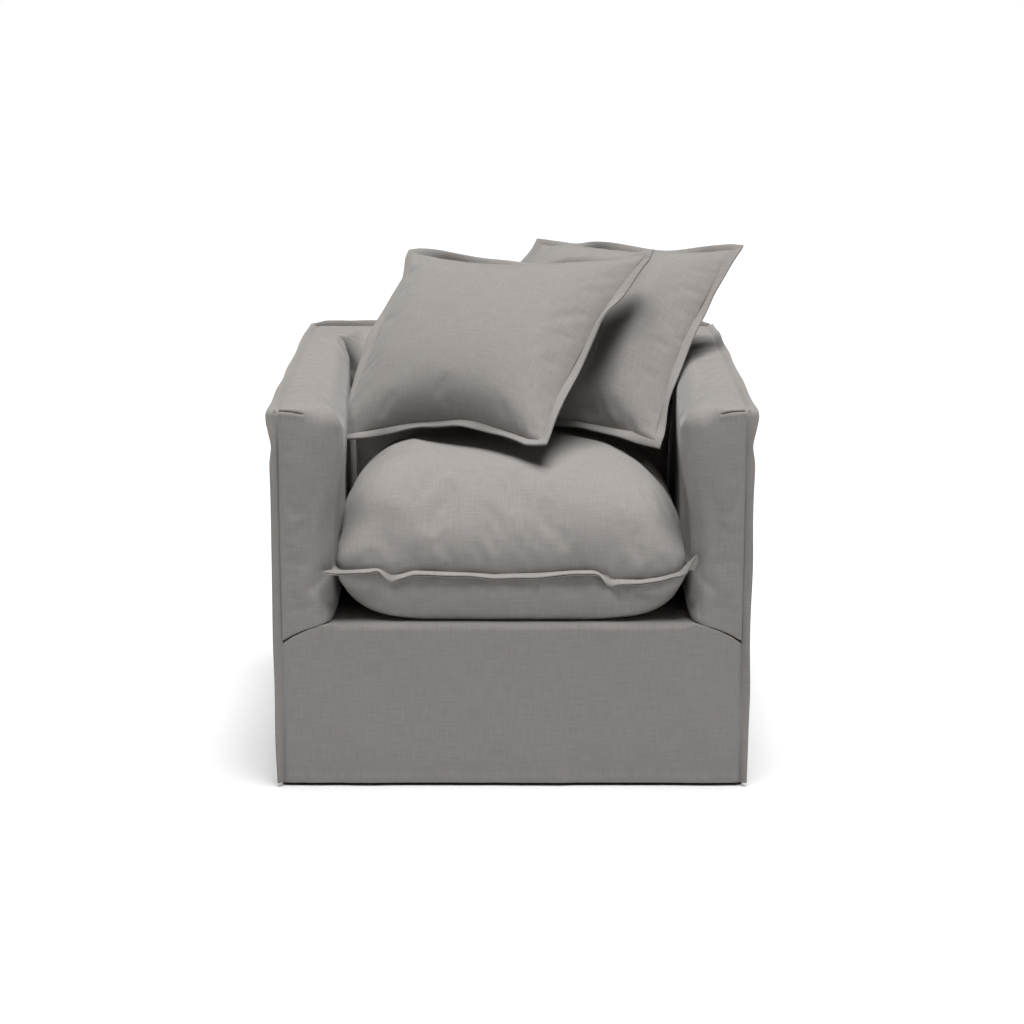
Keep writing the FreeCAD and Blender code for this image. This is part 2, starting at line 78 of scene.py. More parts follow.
CUSHION_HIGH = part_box("seat_cushion_top")[1]
FLANGE_LOW, FLANGE_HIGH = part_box("seat_cushion_flange")
ZIP_LOW, ZIP_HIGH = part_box("seat_cushion_zip")
SLIDER_LOW, SLIDER_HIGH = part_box("seat_cushion_zip_slider")

UP = np.array([0, 0, 1.0])
# Places that a box can't give
CLOTH = 0.002  # thickness of the cover's panels
GAP = 0.0006  # left between padding and the boards or webbing behind it
APRON_BACK = 0.0002  # how far the apron's face lies behind the frame's front
PANEL_IN = 0.0004  # how far the other panels' faces lie inside the frame's sides
ARM_INNER_REAR = SIDE - 0.070  # inner edge of the arm's top where it meets the back
WAIST = SIDE - 0.0815  # inner face of the arm beside the cushion
BULGE_LOW = 0.590  # over this height the arm has its full width
WAIST_HIGH = 0.432  # under this height it keeps to its waist
SEAM_INNER = 0.295  # where the apron's top seam starts to fall
TAPE_WIDE = 0.025  # width of the hook-and-loop strips
PILLOW_REACH = 0.220  # half the side of a pillow in the frame
# Each pillow's centre, and its turn, slope and roll in degrees
LEFT_PILLOW = ((-0.0290, -0.0120, 0.6894), (-36.4, 38.7, 9.8))
RIGHT_PILLOW = ((0.1250, 0.1410, 0.6888), (-30.1, 40.2, 0.0))
# The seed of each hanging panel's waves, and the height at which they die out
WAVES = {"front": (3, 0.30), "right": (7, 0.42), "left": (8, 0.42), "rear": (9, 0.42)}


# ---------------------------------------------------------------- small tools


def linear(code):
    """An sRGB hex colour as linear RGBA."""
    parts = [int(code[i : i + 2], 16) / 255 for i in (0, 2, 4)]
    return [c / 12.92 if c <= 0.04045 else ((c + 0.055) / 1.055) ** 2.4 for c in parts] + [1.0]


def smooth(t):
    """Soft step from 0 to 1."""
    t = np.clip(t, 0.0, 1.0)
    return t * t * (3 - 2 * t)


def peak(t, width):
    """1 where t is 0, falling off softly on both sides."""
    return np.exp(-((t / width) ** 2))


def wander(t, seed, waves):
    """A smooth wavy line along t: the sum of sines with the given (length, height)."""
    phases = np.random.default_rng(seed).uniform(0, 2 * math.pi, (len(waves), 2))
    total = np.zeros_like(t)
    for (length, height), (p, q) in zip(waves, phases):
        drift = 0.9 * np.sin(t * 2 * math.pi / (length * 3.7) + q)
        total += height * np.sin(t * 2 * math.pi / length + p + drift)
    return total


def cloudy(points, size, seed):
    """Smooth noise from -1 to 1 at each point, with lumps of about the given size."""
    shift = Vector((seed * 7.31, seed * 3.17, seed * 5.73))
    scale = Vector([1 / s for s in size])
    return np.array([noise.noise(Vector(p) * scale + shift) for p in points])


def only(obj):
    """Selects one object and makes it active."""
    for other in bpy.context.selected_objects:
        other.select_set(False)
    obj.select_set(True)
    bpy.context.view_layer.objects.active = obj


def vectors(elements, field):
    """One vector for each of a mesh's points or faces."""
    flat = np.empty(len(elements) * 3, "f")
    elements.foreach_get(field, flat)
    return flat.reshape(-1, 3).astype(float)


def points_of(obj):
    return vectors(obj.data.vertices, "co")


def normals_of(obj):
    return vectors(obj.data.vertices, "normal")


def centres_of(obj):
    return vectors(obj.data.polygons, "center")


def move_points(obj, points):
    obj.data.vertices.foreach_set("co", np.ascontiguousarray(points, "f").ravel())
    obj.data.update()


def apply_modifier(obj, kind, **settings):
    """Adds a modifier with its settings and applies it."""
    only(obj)
    modifier = obj.modifiers.new(kind.title(), kind)
    for key, value in settings.items():
        setattr(modifier, key, value)
    bpy.ops.object.modifier_apply(modifier=modifier.name)


def edit_all(obj):
    """Enters edit mode with the whole piece selected."""
    only(obj)
    bpy.ops.object.mode_set(mode="EDIT")
    bpy.ops.mesh.select_all(action="SELECT")


def end_edit():
    bpy.ops.object.mode_set(mode="OBJECT")


def clean(obj, distance=0.0004):
    """Merges doubled points and turns every face outwards."""
    edit_all(obj)
    bpy.ops.mesh.remove_doubles(threshold=distance)
    bpy.ops.mesh.normals_make_consistent(inside=False)
    end_edit()


def flip(obj):
    """Turns every face the other way."""
    edit_all(obj)
    bpy.ops.mesh.flip_normals()
    end_edit()


def select_faces(obj, chosen):
    """Enters edit mode with only the chosen faces selected."""
    only(obj)
    mesh = obj.data
    for group in (mesh.vertices, mesh.edges, mesh.polygons):
        group.foreach_set("select", np.zeros(len(group), bool))
    bpy.context.tool_settings.mesh_select_mode = (False, False, True)
    mesh.polygons.foreach_set("select", np.ascontiguousarray(chosen, bool))
    bpy.ops.object.mode_set(mode="EDIT")


def joined(parts):
    """Several pieces as one mesh."""
    only(parts[0])
    for part in parts[1:]:
        part.select_set(True)
    bpy.ops.object.join()
    return bpy.context.object


def shade(obj, angle=None):
    """Smooth shading, with sharp edges kept over the angle."""
    only(obj)
    if angle is None:
        bpy.ops.object.shade_smooth()
    else:
        bpy.ops.object.shade_smooth_by_angle(angle=math.radians(angle))


def thread_map(obj, coords):
    """Lays the weave on a piece: coords are metres along weft and warp, one pair a point."""
    layer = obj.data.uv_layers.active or obj.data.uv_layers.new(name="threads")
    corners = np.empty(len(obj.data.loops), "i")
    obj.data.loops.foreach_get("vertex_index", corners)
    layer.data.foreach_set("uv", np.ascontiguousarray(coords[corners], "f").ravel())


def thread_map_by_side(obj, top, front, flank):
    """Lays the weave on a closed form: each side gives the axes that weft and warp follow."""
    layer = obj.data.uv_layers.active or obj.data.uv_layers.new(name="threads")
    mesh = obj.data
    corners = np.empty(len(mesh.loops), "i")
    mesh.loops.foreach_get("vertex_index", corners)
    normals = np.empty(len(mesh.polygons) * 3, "f")
    mesh.polygons.foreach_get("normal", normals)
    counts = np.empty(len(mesh.polygons), "i")
    mesh.polygons.foreach_get("loop_total", counts)
    facing = np.abs(normals.reshape(-1, 3)).argmax(axis=1).repeat(counts)
    points = points_of(obj)[corners]
    axes = np.array([flank, front, top])[facing]
    rows = np.arange(len(corners))
    coords = np.stack([points[rows, axes[:, 0]], points[rows, axes[:, 1]]], axis=1)
    layer.data.foreach_set("uv", np.ascontiguousarray(coords, "f").ravel())


def block(low, high, cell):
    """A closed box of even cells, from six grids joined along their edges."""
    low, high = Vector(low), Vector(high)
    size, middle = high - low, (low + high) / 2
    count = [max(1, round(s / cell)) for s in size]
    quarter = math.pi / 2
    sides = []
    for across, turn, (i, j) in (
        (2, (0, 0, 0), (0, 1)),
        (1, (quarter, 0, 0), (0, 2)),
        (0, (0, quarter, 0), (2, 1)),
    ):
        for sign in (-1, 1):
            centre = middle.copy()
            centre[across] += sign * size[across] / 2
            bpy.ops.mesh.primitive_grid_add(
                x_subdivisions=count[i],
                y_subdivisions=count[j],
                size=1,
                location=centre,
                rotation=turn,
            )
            side = bpy.context.object
            side.scale = (size[i], size[j], 1)
            sides.append(side)
    for side in sides:
        side.select_set(True)
    bpy.ops.object.join()
    bpy.ops.object.transform_apply(location=True, rotation=True, scale=True)
    obj = bpy.context.object
    clean(obj, cell * 0.1)
    return obj


def sheet_grid(columns, rows, place, threads):
    """A flat grid laid over a surface: place and threads turn (u, v) into points and metres."""
    bpy.ops.mesh.primitive_grid_add(x_subdivisions=columns, y_subdivisions=rows, size=1)
    obj = bpy.context.object
    flat = points_of(obj)
    u, v = flat[:, 0] + 0.5, flat[:, 1] + 0.5
    move_points(obj, np.stack(place(u, v), axis=1))
    thread_map(obj, np.stack(threads(u, v), axis=1))
    return obj


def rounded(near, radii):
    """How far to move points to round a box's edges; near is each point's distance to its sides."""
    over = np.minimum(near - radii[:, None], 0.0)
    length = np.linalg.norm(over, axis=1)
    scale = np.where(length > radii, radii / np.maximum(length, 1e-9), 1.0)
    return np.where(over < 0, radii[:, None] + over * scale[:, None], near) - near


def swell(obj, held, pressure, cap, slack=0.0, bending=0.5):
    """Blows a sewn shell up as cloth. Held points stay, and none moves further than cap."""
    frames = 20
    before = points_of(obj)
    group = obj.vertex_groups.new(name="held")
    group.add([int(i) for i in np.flatnonzero(held)], 1.0, "REPLACE")
    cloth = obj.modifiers.new("Cloth", "CLOTH")
    settings = cloth.settings
    settings.quality = 6
    settings.mass = 0.25
    settings.tension_stiffness = 25
    settings.compression_stiffness = 25
    settings.shear_stiffness = 10
    settings.bending_stiffness = bending
    settings.tension_damping = 15
    settings.compression_damping = 15
    settings.air_damping = 4
    settings.use_pressure = True
    settings.uniform_pressure_force = pressure
    settings.shrink_min = -slack
    settings.vertex_group_mass = group.name
    settings.effector_weights.gravity = 0
    cloth.point_cache.frame_start = 1
    cloth.point_cache.frame_end = frames
    scene = bpy.context.scene
    for step in range(1, frames + 1):
        scene.frame_set(step)
    only(obj)
    bpy.ops.object.modifier_apply(modifier=cloth.name)
    obj.vertex_groups.clear()
    scene.frame_set(1)
    move = points_of(obj) - before
    length = np.linalg.norm(move, axis=1)
    move *= np.minimum(1.0, cap / np.maximum(length, 1e-9))[:, None]
    move_points(obj, before + move)


def subdivide(obj):
    apply_modifier(obj, "SUBSURF", levels=1, render_levels=1)


def settle(obj, neighbours, gap):
    """Presses a soft piece in wherever it would run into its neighbours."""
    reach = 0.08  # neighbours further away than this don't matter
    points = points_of(obj)
    for other in neighbours:
        mesh = other.data
        tree = BVHTree.FromPolygons(
            [v.co for v in mesh.vertices], [tuple(p.vertices) for p in mesh.polygons]
        )
        for i, p in enumerate(points):
            place, normal, _, _ = tree.find_nearest(Vector(p), reach)
            if place is not None and (Vector(p) - place).dot(normal) < gap:
                points[i] = place + normal * gap
    move_points(obj, points)


def flange(path, outward, up, width, ply, closed):
    """Two plies of cloth standing out of a seam, with a fine gap between them at the edge.

    path, outward and up hold one vector for each place along the seam. outward is as long as
    the share of the width that the flange has there.
    """
    w, t = width, ply
    section = np.array(
        [
            (-0.35 * w, t * 0.35),
            (0.02 * w, t * 0.35),
            (0.22 * w, t * 1.16),
            (0.70 * w, t * 1.10),
            (w - 0.9 * t, t * 1.08),
            (w - 0.2 * t, t * 0.85),
            (w, t * 0.50),
            (w - 0.4 * t, t * 0.14),
            (w - 2.4 * t, 0.0),
            (w - 0.4 * t, -t * 0.14),
            (w, -t * 0.50),
            (w - 0.2 * t, -t * 0.85),
            (w - 0.9 * t, -t * 1.08),
            (0.70 * w, -t * 1.10),
            (0.22 * w, -t * 1.16),
            (0.02 * w, -t * 0.35),
            (-0.35 * w, -t * 0.35),
            (-0.35 * w, t * 0.35),
        ]
    )
    if closed:
        path, outward, up = (np.vstack([a, a[:1]]) for a in (path, outward, up))
    along = lengths_along(path)
    columns, rows = len(path) - 1, len(section) - 1

    def place(u, v):
        i = np.rint(u * columns).astype(int)
        j = np.rint(v * rows).astype(int)
        at = path[i] + outward[i] * section[j, :1] + up[i] * section[j, 1:]
        return at[:, 0], at[:, 1], at[:, 2]

    def threads(u, v):
        i = np.rint(u * columns).astype(int)
        j = np.rint(v * rows).astype(int)
        return along[i], section[j, 0]

    obj = sheet_grid(columns, rows, place, threads)
    clean(obj, 0.00005)
    if not closed:
        # Both ends are open, and one face closes each
        edit_all(obj)
        bpy.ops.mesh.select_all(action="DESELECT")
        bpy.ops.mesh.select_mode(type="VERT")
        bpy.ops.mesh.select_non_manifold()
        bpy.ops.mesh.edge_face_add()
        bpy.ops.mesh.select_all(action="SELECT")
        bpy.ops.mesh.normals_make_consistent(inside=False)
        end_edit()
    shade(obj, 60)
    return obj


def unit(long):
    """Vectors scaled to a length of 1."""
    return long / np.maximum(np.linalg.norm(long, axis=-1, keepdims=True), 1e-9)


def leaned(level, up, lean):
    """Turns vectors towards up by an angle each, and gives those square to them as well."""
    c, s = np.cos(lean)[:, None], np.sin(lean)[:, None]
    return level * c + up * s, up * c - level * s


def lengths_along(path):
    """How far along a path each of its places lies."""
    steps = np.linalg.norm(np.diff(path, axis=0), axis=1)
    return np.concatenate([[0], np.cumsum(steps)])


def copies(obj, places):
    """Repeats a small piece: places holds one 4x4 matrix for each copy."""
    own = points_of(obj)
    apply_modifier(
        obj, "ARRAY", count=len(places), use_relative_offset=False, use_constant_offset=True
    )
    moved = [own @ np.array(m)[:3, :3].T + np.array(m)[:3, 3] for m in places]
    move_points(obj, np.vstack(moved))
    return obj


def stitches(path, facing, pitch, length, radius):
    """A row of stitches lying on a surface along a path."""
    along = lengths_along(path)

    def sample(line, s):
        return np.array([np.interp(s, along, line[:, k]) for k in range(3)])

    places = []
    for s in np.arange(pitch / 2, along[-1], pitch):
        at = sample(path, s)
        way = unit(sample(path, s + pitch / 2) - at)
        out = sample(facing, s)
        out = unit(out - way * out.dot(way))
        side = np.cross(out, way)
        m = np.eye(4)
        m[:3, 0], m[:3, 1], m[:3, 2], m[:3, 3] = way, side, out, at
        places.append(m)
    bpy.ops.mesh.primitive_uv_sphere_add(segments=6, ring_count=4, radius=1)
    obj = bpy.context.object
    points = points_of(obj)
    turned = np.stack([points[:, 2], points[:, 0], points[:, 1]], axis=1)
    move_points(obj, turned * (length / 2, radius, radius * 0.8))
    copies(obj, places)
    shade(obj)
    return obj


# ---------------------------------------------------------------- finishes


def node(tree, kind, settings=None, links=None):
    """Adds a shader node, sets its attributes and sockets, and links its inputs."""
    made = tree.nodes.new("ShaderNode" + kind)
    for key, value in (settings or {}).items():
        if isinstance(key, str) and hasattr(made, key):
            setattr(made, key, value)
        else:
            made.inputs[key].default_value = value
    for key, source in (links or {}).items():
        tree.links.new(source, made.inputs[key])
    return made


def surface(name, settings):
    """A new material with its Principled shader's own sockets set; gives both and the tree."""
    material = bpy.data.materials.new(name)
    material.use_nodes = True
    shader = material.node_tree.nodes["Principled BSDF"]
    for key, value in settings.items():
        shader.inputs[key].default_value = value
    return material, material.node_tree, shader


def blend_colours(tree, factor, first, second):
    """Mixes two linear colours by a factor socket."""
    mix = node(tree, "Mix", {"data_type": "RGBA", 6: first, 7: second}, {0: factor})
    return mix.outputs[2]


def ranged(tree, value, low, high, to_low=0.0, to_high=1.0):
    """A value socket carried from one range to another."""
    ends = {"From Min": low, "From Max": high, "To Min": to_low, "To Max": to_high}
    return node(tree, "MapRange", ends, {"Value": value}).outputs["Result"]


def crossed(tree, place, directions, pitch):
    """Two sets of yarns that cross, as a height socket; pitch is the distance between yarns."""
    waves = []
    for way in directions:
        bands = {"bands_direction": way, "Scale": 0.314 / pitch}
        waves.append(node(tree, "TexWave", bands, {"Vector": place}).outputs["Fac"])
    return node(tree, "Math", {"operation": "MULTIPLY"}, {0: waves[0], 1: waves[1]}).outputs[0]


def dress(tree, shader, tone, height, strength, depth):
    """Gives the shader its colour and a relief that is depth metres deep."""
    tree.links.new(tone, shader.inputs["Base Color"])
    bump = node(tree, "Bump", {"Strength": strength, "Distance": depth}, {"Height": height})
    tree.links.new(bump.outputs["Normal"], shader.inputs["Normal"])


def shaded(colour, share):
    """A linear colour made lighter or darker."""
    return [c * share for c in colour[:3]] + [1.0]


def linen(name, colour):
    """Plain-woven slub linen, piece dyed.

    Thick and thin yarns give short streaks both ways, a shade lighter or darker, and the loose
    fibres give a soft sheen at a glancing angle. The real yarns are 0.5 mm apart, too fine to
    show, so the weave is drawn at 1.6 mm.
    """
    material, tree, shader = surface(
        name,
        {
            "Roughness": 0.92,
            "Specular IOR Level": 0.25,
            "Sheen Weight": 0.22,
            "Sheen Roughness": 0.45,
            "Sheen Tint": (1.0, 0.99, 0.98, 1.0),
        },
    )
    uv = node(tree, "TexCoord").outputs["UV"]
    drift = node(tree, "TexNoise", {"Scale": 1 / 0.06, "Detail": 1.0}, {"Vector": uv})
    bent = node(
        tree, "VectorMath", {"operation": "MULTIPLY_ADD", 1: (0.004, 0.004, 0.0)},
        {0: drift.outputs["Color"], 2: uv},
    ).outputs["Vector"]
    streaks = []
    for length, width, seed in ((0.042, 0.0021, 0.0), (0.0021, 0.036, 5.0)):
        stretched = node(
            tree, "Mapping", {"Scale": (1 / length, 1 / width, 1.0), "Location": (seed, seed, 0)},
            {"Vector": bent},
        )
        streak = node(
            tree, "TexNoise", {"noise_dimensions": "2D", "Scale": 1.0, "Detail": 2.0},
            {"Vector": stretched.outputs["Vector"]},
        )
        streaks.append(streak.outputs["Fac"])
    slub = node(tree, "Math", {"operation": "ADD"}, {0: streaks[0], 1: streaks[1]}).outputs[0]
    cross = crossed(tree, bent, "XY", 0.0016)
    cloud = node(tree, "TexNoise", {"Scale": 1 / 0.16, "Detail": 3.0}, {"Vector": uv})
    streaked = ranged(tree, slub, 0.72, 1.28)
    tone = blend_colours(tree, streaked, shaded(colour, 0.89), shaded(colour, 1.10))
    patchy = blend_colours(tree, cloud.outputs["Fac"], shaded(colour, 0.95), shaded(colour, 1.04))
    mixed = node(
        tree, "Mix", {"data_type": "RGBA", "blend_type": "MIX", 0: 0.30}, {6: tone, 7: patchy}
    ).outputs[2]
    # Painted shade: the colour is darker in the weave's hollows, and a touch lighter where the
    # yarns cross on top as a painted highlight
    weave_shade = ranged(tree, cross, 0.0, 1.0, 0.96, 1.02)
    final = node(
        tree, "VectorMath", {"operation": "SCALE"}, {0: mixed, "Scale": weave_shade}
    ).outputs["Vector"]
    height = node(tree, "Math", {"operation": "MULTIPLY_ADD", 1: 0.7}, {0: slub, 2: cross})
    dress(tree, shader, final, height.outputs[0], 0.24, 0.0005)
    return material


def thread(colour):
    """Spun polyester sewing thread: a shade lighter than the linen, with a dull shine."""
    material, tree, shader = surface(
        "spun_polyester_thread", {"Roughness": 0.6, "Sheen Weight": 0.1}
    )
    place = node(tree, "TexCoord").outputs["Object"]
    twist = node(tree, "TexNoise", {"Scale": 1 / 0.0012, "Detail": 2.0}, {"Vector": place})
    tone = blend_colours(tree, twist.outputs["Fac"], shaded(colour, 0.85), shaded(colour, 1.2))
    tree.links.new(tone, shader.inputs["Base Color"])
    return material


def timber(name, axis, pale, dark, roughness):
    """Planed hardwood: growth rings cut along the grain, with fine dark pores drawn along it."""
    material, tree, shader = surface(name, {"Roughness": roughness, "Coat Weight": 0.0})
    place = node(tree, "TexCoord").outputs["Object"]
    turn = {"X": (0, math.pi / 2, 0), "Y": (math.pi / 2, 0, 0), "Z": (0, 0, 0)}[axis]
    along = node(tree, "Mapping", {"Rotation": turn}, {"Vector": place}).outputs["Vector"]
    long_grain = node(
        tree, "Mapping", {"Scale": (1 / 0.011, 1 / 0.011, 1 / 0.35)}, {"Vector": along}
    ).outputs["Vector"]
    rings = node(
        tree, "TexNoise", {"Scale": 0.7, "Detail": 4.0, "Distortion": 0.9},
        {"Vector": long_grain},
    ).outputs["Fac"]
    pore_grain = node(
        tree, "Mapping", {"Scale": (1 / 0.0011, 1 / 0.0011, 1 / 0.016)}, {"Vector": along}
    ).outputs["Vector"]
    pores = node(tree, "TexNoise", {"Scale": 1.0, "Detail": 2.0}, {"Vector": pore_grain})
    tone = blend_colours(tree, ranged(tree, rings, 0.36, 0.64), pale, dark)
    fleck = ranged(tree, pores.outputs["Fac"], 0.3, 0.5, 0.72)
    final = node(tree, "VectorMath", {"operation": "SCALE"}, {0: tone, "Scale": fleck})
    dress(tree, shader, final.outputs["Vector"], pores.outputs["Fac"], 0.2, 0.0004)
    return material


def speckled(name, settings, first, second, size, bump=0.2):
    """A material of two close colours in patches of a given size, with the same fine relief."""
    material, tree, shader = surface(name, settings)
    place = node(tree, "TexCoord").outputs["Object"]
    scale = [1 / size] * 3
    spread = node(tree, "Mapping", {"Scale": scale}, {"Vector": place}).outputs["Vector"]
    grit = node(tree, "TexNoise", {"Scale": 1.0, "Detail": 3.0}, {"Vector": spread}).outputs["Fac"]
    tone = blend_colours(tree, ranged(tree, grit, 0.35, 0.65), first, second)
    dress(tree, shader, tone, grit, bump, size * 0.3)
    return material


def cellular_foam():
    """Open-cell polyurethane foam, cut with a wire: pale yellow, all small pores."""
    material, tree, shader = surface(
        "polyurethane_foam", {"Roughness": 0.95, "Subsurface Weight": 0.1}
    )
    place = node(tree, "TexCoord").outputs["Object"]
    cells = node(tree, "TexVoronoi", {"Scale": 1 / 0.0035}, {"Vector": place}).outputs["Distance"]
    tone = blend_colours(tree, cells, linear("E9DDA6"), linear("C9B878"))
    dress(tree, shader, tone, cells, 0.5, 0.001)
    return material


def jute_webbing():
    """Twilled jute webbing: coarse brown yarns 3 mm apart, darker in the weave's hollows as painted
    shade.
    """
    material, tree, shader = surface("jute_webbing", {"Roughness": 0.95, "Sheen Weight": 0.1})
    place = node(tree, "TexCoord").outputs["Object"]
    cross = crossed(tree, place, "XZ", 0.003)
    # Painted shade: the darker brown fills the weave's hollows, and the paler brown is on the tops
    # where the yarns cross
    tone = blend_colours(tree, cross, linear("7A5E3A"), linear("B89868"))
    dress(tree, shader, tone, cross, 0.5, 0.001)
    return material


def make_finishes(colours):
    """Every finish of the chair, by name."""
    grey = list(colours.linen) + [1.0]
    stain = list(colours.leg_stain) + [1.0]
    pale, dark = linear("D9BC8F"), linear("B58E5F")
    made = {
        "linen": linen("slub_linen", grey),
        "thread": thread(shaded(grey, 1.1)),
        # Planed beech: straight pale grain with short flecks, left bare inside the frame
        "beech_x": timber("planed_beech_x", "X", pale, dark, 0.6),
        "beech_y": timber("planed_beech_y", "Y", pale, dark, 0.6),
        "beech_z": timber("planed_beech_z", "Z", pale, dark, 0.6),
        # Stained and lacquered beech: the same grain, dark brown under a satin lacquer
        "leg": timber("stained_beech", "Z", stain, shaded(stain, 0.55), 0.35),
        # Hardboard: pressed wood fibre, brown and evenly mottled
        "hardboard": speckled(
            "hardboard", {"Roughness": 0.7}, linear("8A6340"), linear("6B4A2E"), 0.004
        ),
        # Phosphated spring wire and clips: dark grey steel with a soft shine
        "spring": speckled(
            "phosphated_steel_wire", {"Metallic": 1.0, "Roughness": 0.38},
            linear("7C7E80"), linear("5E6062"), 0.006, 0.05,
        ),
        # Zinc-plated steel screws and bolts: bright, faintly blue, slightly uneven
        "zinc": speckled(
            "zinc_plated_steel", {"Metallic": 1.0, "Roughness": 0.28},
            linear("C4C8CC"), linear("A7ACB2"), 0.003, 0.04,
        ),
        # Moulded polyamide glides: near-black, satin, with fine grit worn in
        "glide": speckled(
            "moulded_polyamide", {"Roughness": 0.45}, linear("202022"), linear("2C2C2E"), 0.002
        ),
        "webbing": jute_webbing(),
        "foam": cellular_foam(),
        # Spunbonded polypropylene dust cloth: black, thin, with a fibrous matt face
        "dust_cloth": speckled(
            "spunbonded_polypropylene", {"Roughness": 0.85}, linear("17171A"), linear("2A2A2E"),
            0.0025, 0.4,
        ),
        # Hook-and-loop tape: off-white polyester with a short dense pile
        "tape": speckled(
            "hook_and_loop_polyester", {"Roughness": 0.9, "Sheen Weight": 0.3},
            linear("D8D5CC"), linear("BDB9AE"), 0.0012, 0.6,
        ),
        # Woven polyester zip tape, dyed to match the linen
        "zip_tape": speckled(
            "woven_zip_tape", {"Roughness": 0.85, "Sheen Weight": 0.15},
            shaded(grey, 0.75), shaded(grey, 0.95), 0.0014, 0.4,
        ),
        # Nickel-plated zinc: the zip's cast slider and pull, bright with soft handling marks
        "nickel": speckled(
            "nickel_plated_zinc", {"Metallic": 1.0, "Roughness": 0.24},
            linear("C9C6BE"), linear("B3AFA6"), 0.002, 0.03,
        ),
    }
    return made


finishes = {}
made_pieces = {}


# ---------------------------------------------------------------- the chair's lines


def rise(y):
    """0 at the front of the arms and 1 where they meet the back."""
    return np.clip((y - FRONT) / (BACK_FACE - FRONT), 0.0, 1.0)


def arm_top(y):
    """Height of the arm's top at y."""
    return ARM_TOP_FRONT + (BACK_TOP - ARM_TOP_FRONT) * rise(y)


def arm_inner(y, z):
    """Half the gap between the arms: padding bulges over a waist beside the cushion."""
    top = ARM_INNER_FRONT + (ARM_INNER_REAR - ARM_INNER_FRONT) * rise(y)
    share = smooth((z - WAIST_HIGH) / (BULGE_LOW - WAIST_HIGH))
    foot = 0.007 * smooth((0.335 - z) / 0.045) * (1 - rise(y))
    return WAIST - foot + (top - WAIST) * share


def apron_top(x):
    """Height of the apron's top seam: level between the arms, falling under each arm."""
    t = np.clip((np.abs(x) - SEAM_INNER) / (SIDE - SEAM_INNER), 0.0, 1.0)
    return DECK + (SEAM_OUTER - DECK) * (0.12 * t + 0.88 * t * t)


def ring(half_x, half_y, corner, pitch):
    """Places round a rectangle with rounded corners, anticlockwise, and the way out at each.

    The way out is a share of a flange's width, longer at the corners, where the flange comes to
    a point. It is given for a flange as wide as 1 and is scaled by point_out.
    """
    places, ways, turns = [], [], []
    for k, (sx, sy) in enumerate(((1, 1), (-1, 1), (-1, -1), (1, -1))):
        centre = np.array([sx * (half_x - corner), sy * (half_y - corner)])
        for angle in np.linspace(k * math.pi / 2, (k + 1) * math.pi / 2, 11):
            way = np.array([math.cos(angle), math.sin(angle)])
            places.append(centre + corner * way)
            ways.append(way)
            turns.append(max(abs(way)))
        following = ((-1, 1), (-1, -1), (1, -1), (1, 1))[k]
        other = np.array([following[0] * (half_x - corner), following[1] * (half_y - corner)])
        run = other - centre
        count = max(2, round(np.linalg.norm(run) / pitch))
        for step in range(1, count):
            places.append(centre + corner * ways[-1] + run * step / count)
            ways.append(ways[-1])
            turns.append(1.0)
    return np.array(places), np.array(ways), np.array(turns)


def point_out(ways, turns, corner, width):
    """Lengthens the ways out at rounded corners so that the flange's edge comes to a point."""
    length = ((corner + width) / turns - corner) / width
    return ways * length[:, None]


# ---------------------------------------------------------------- arms and back


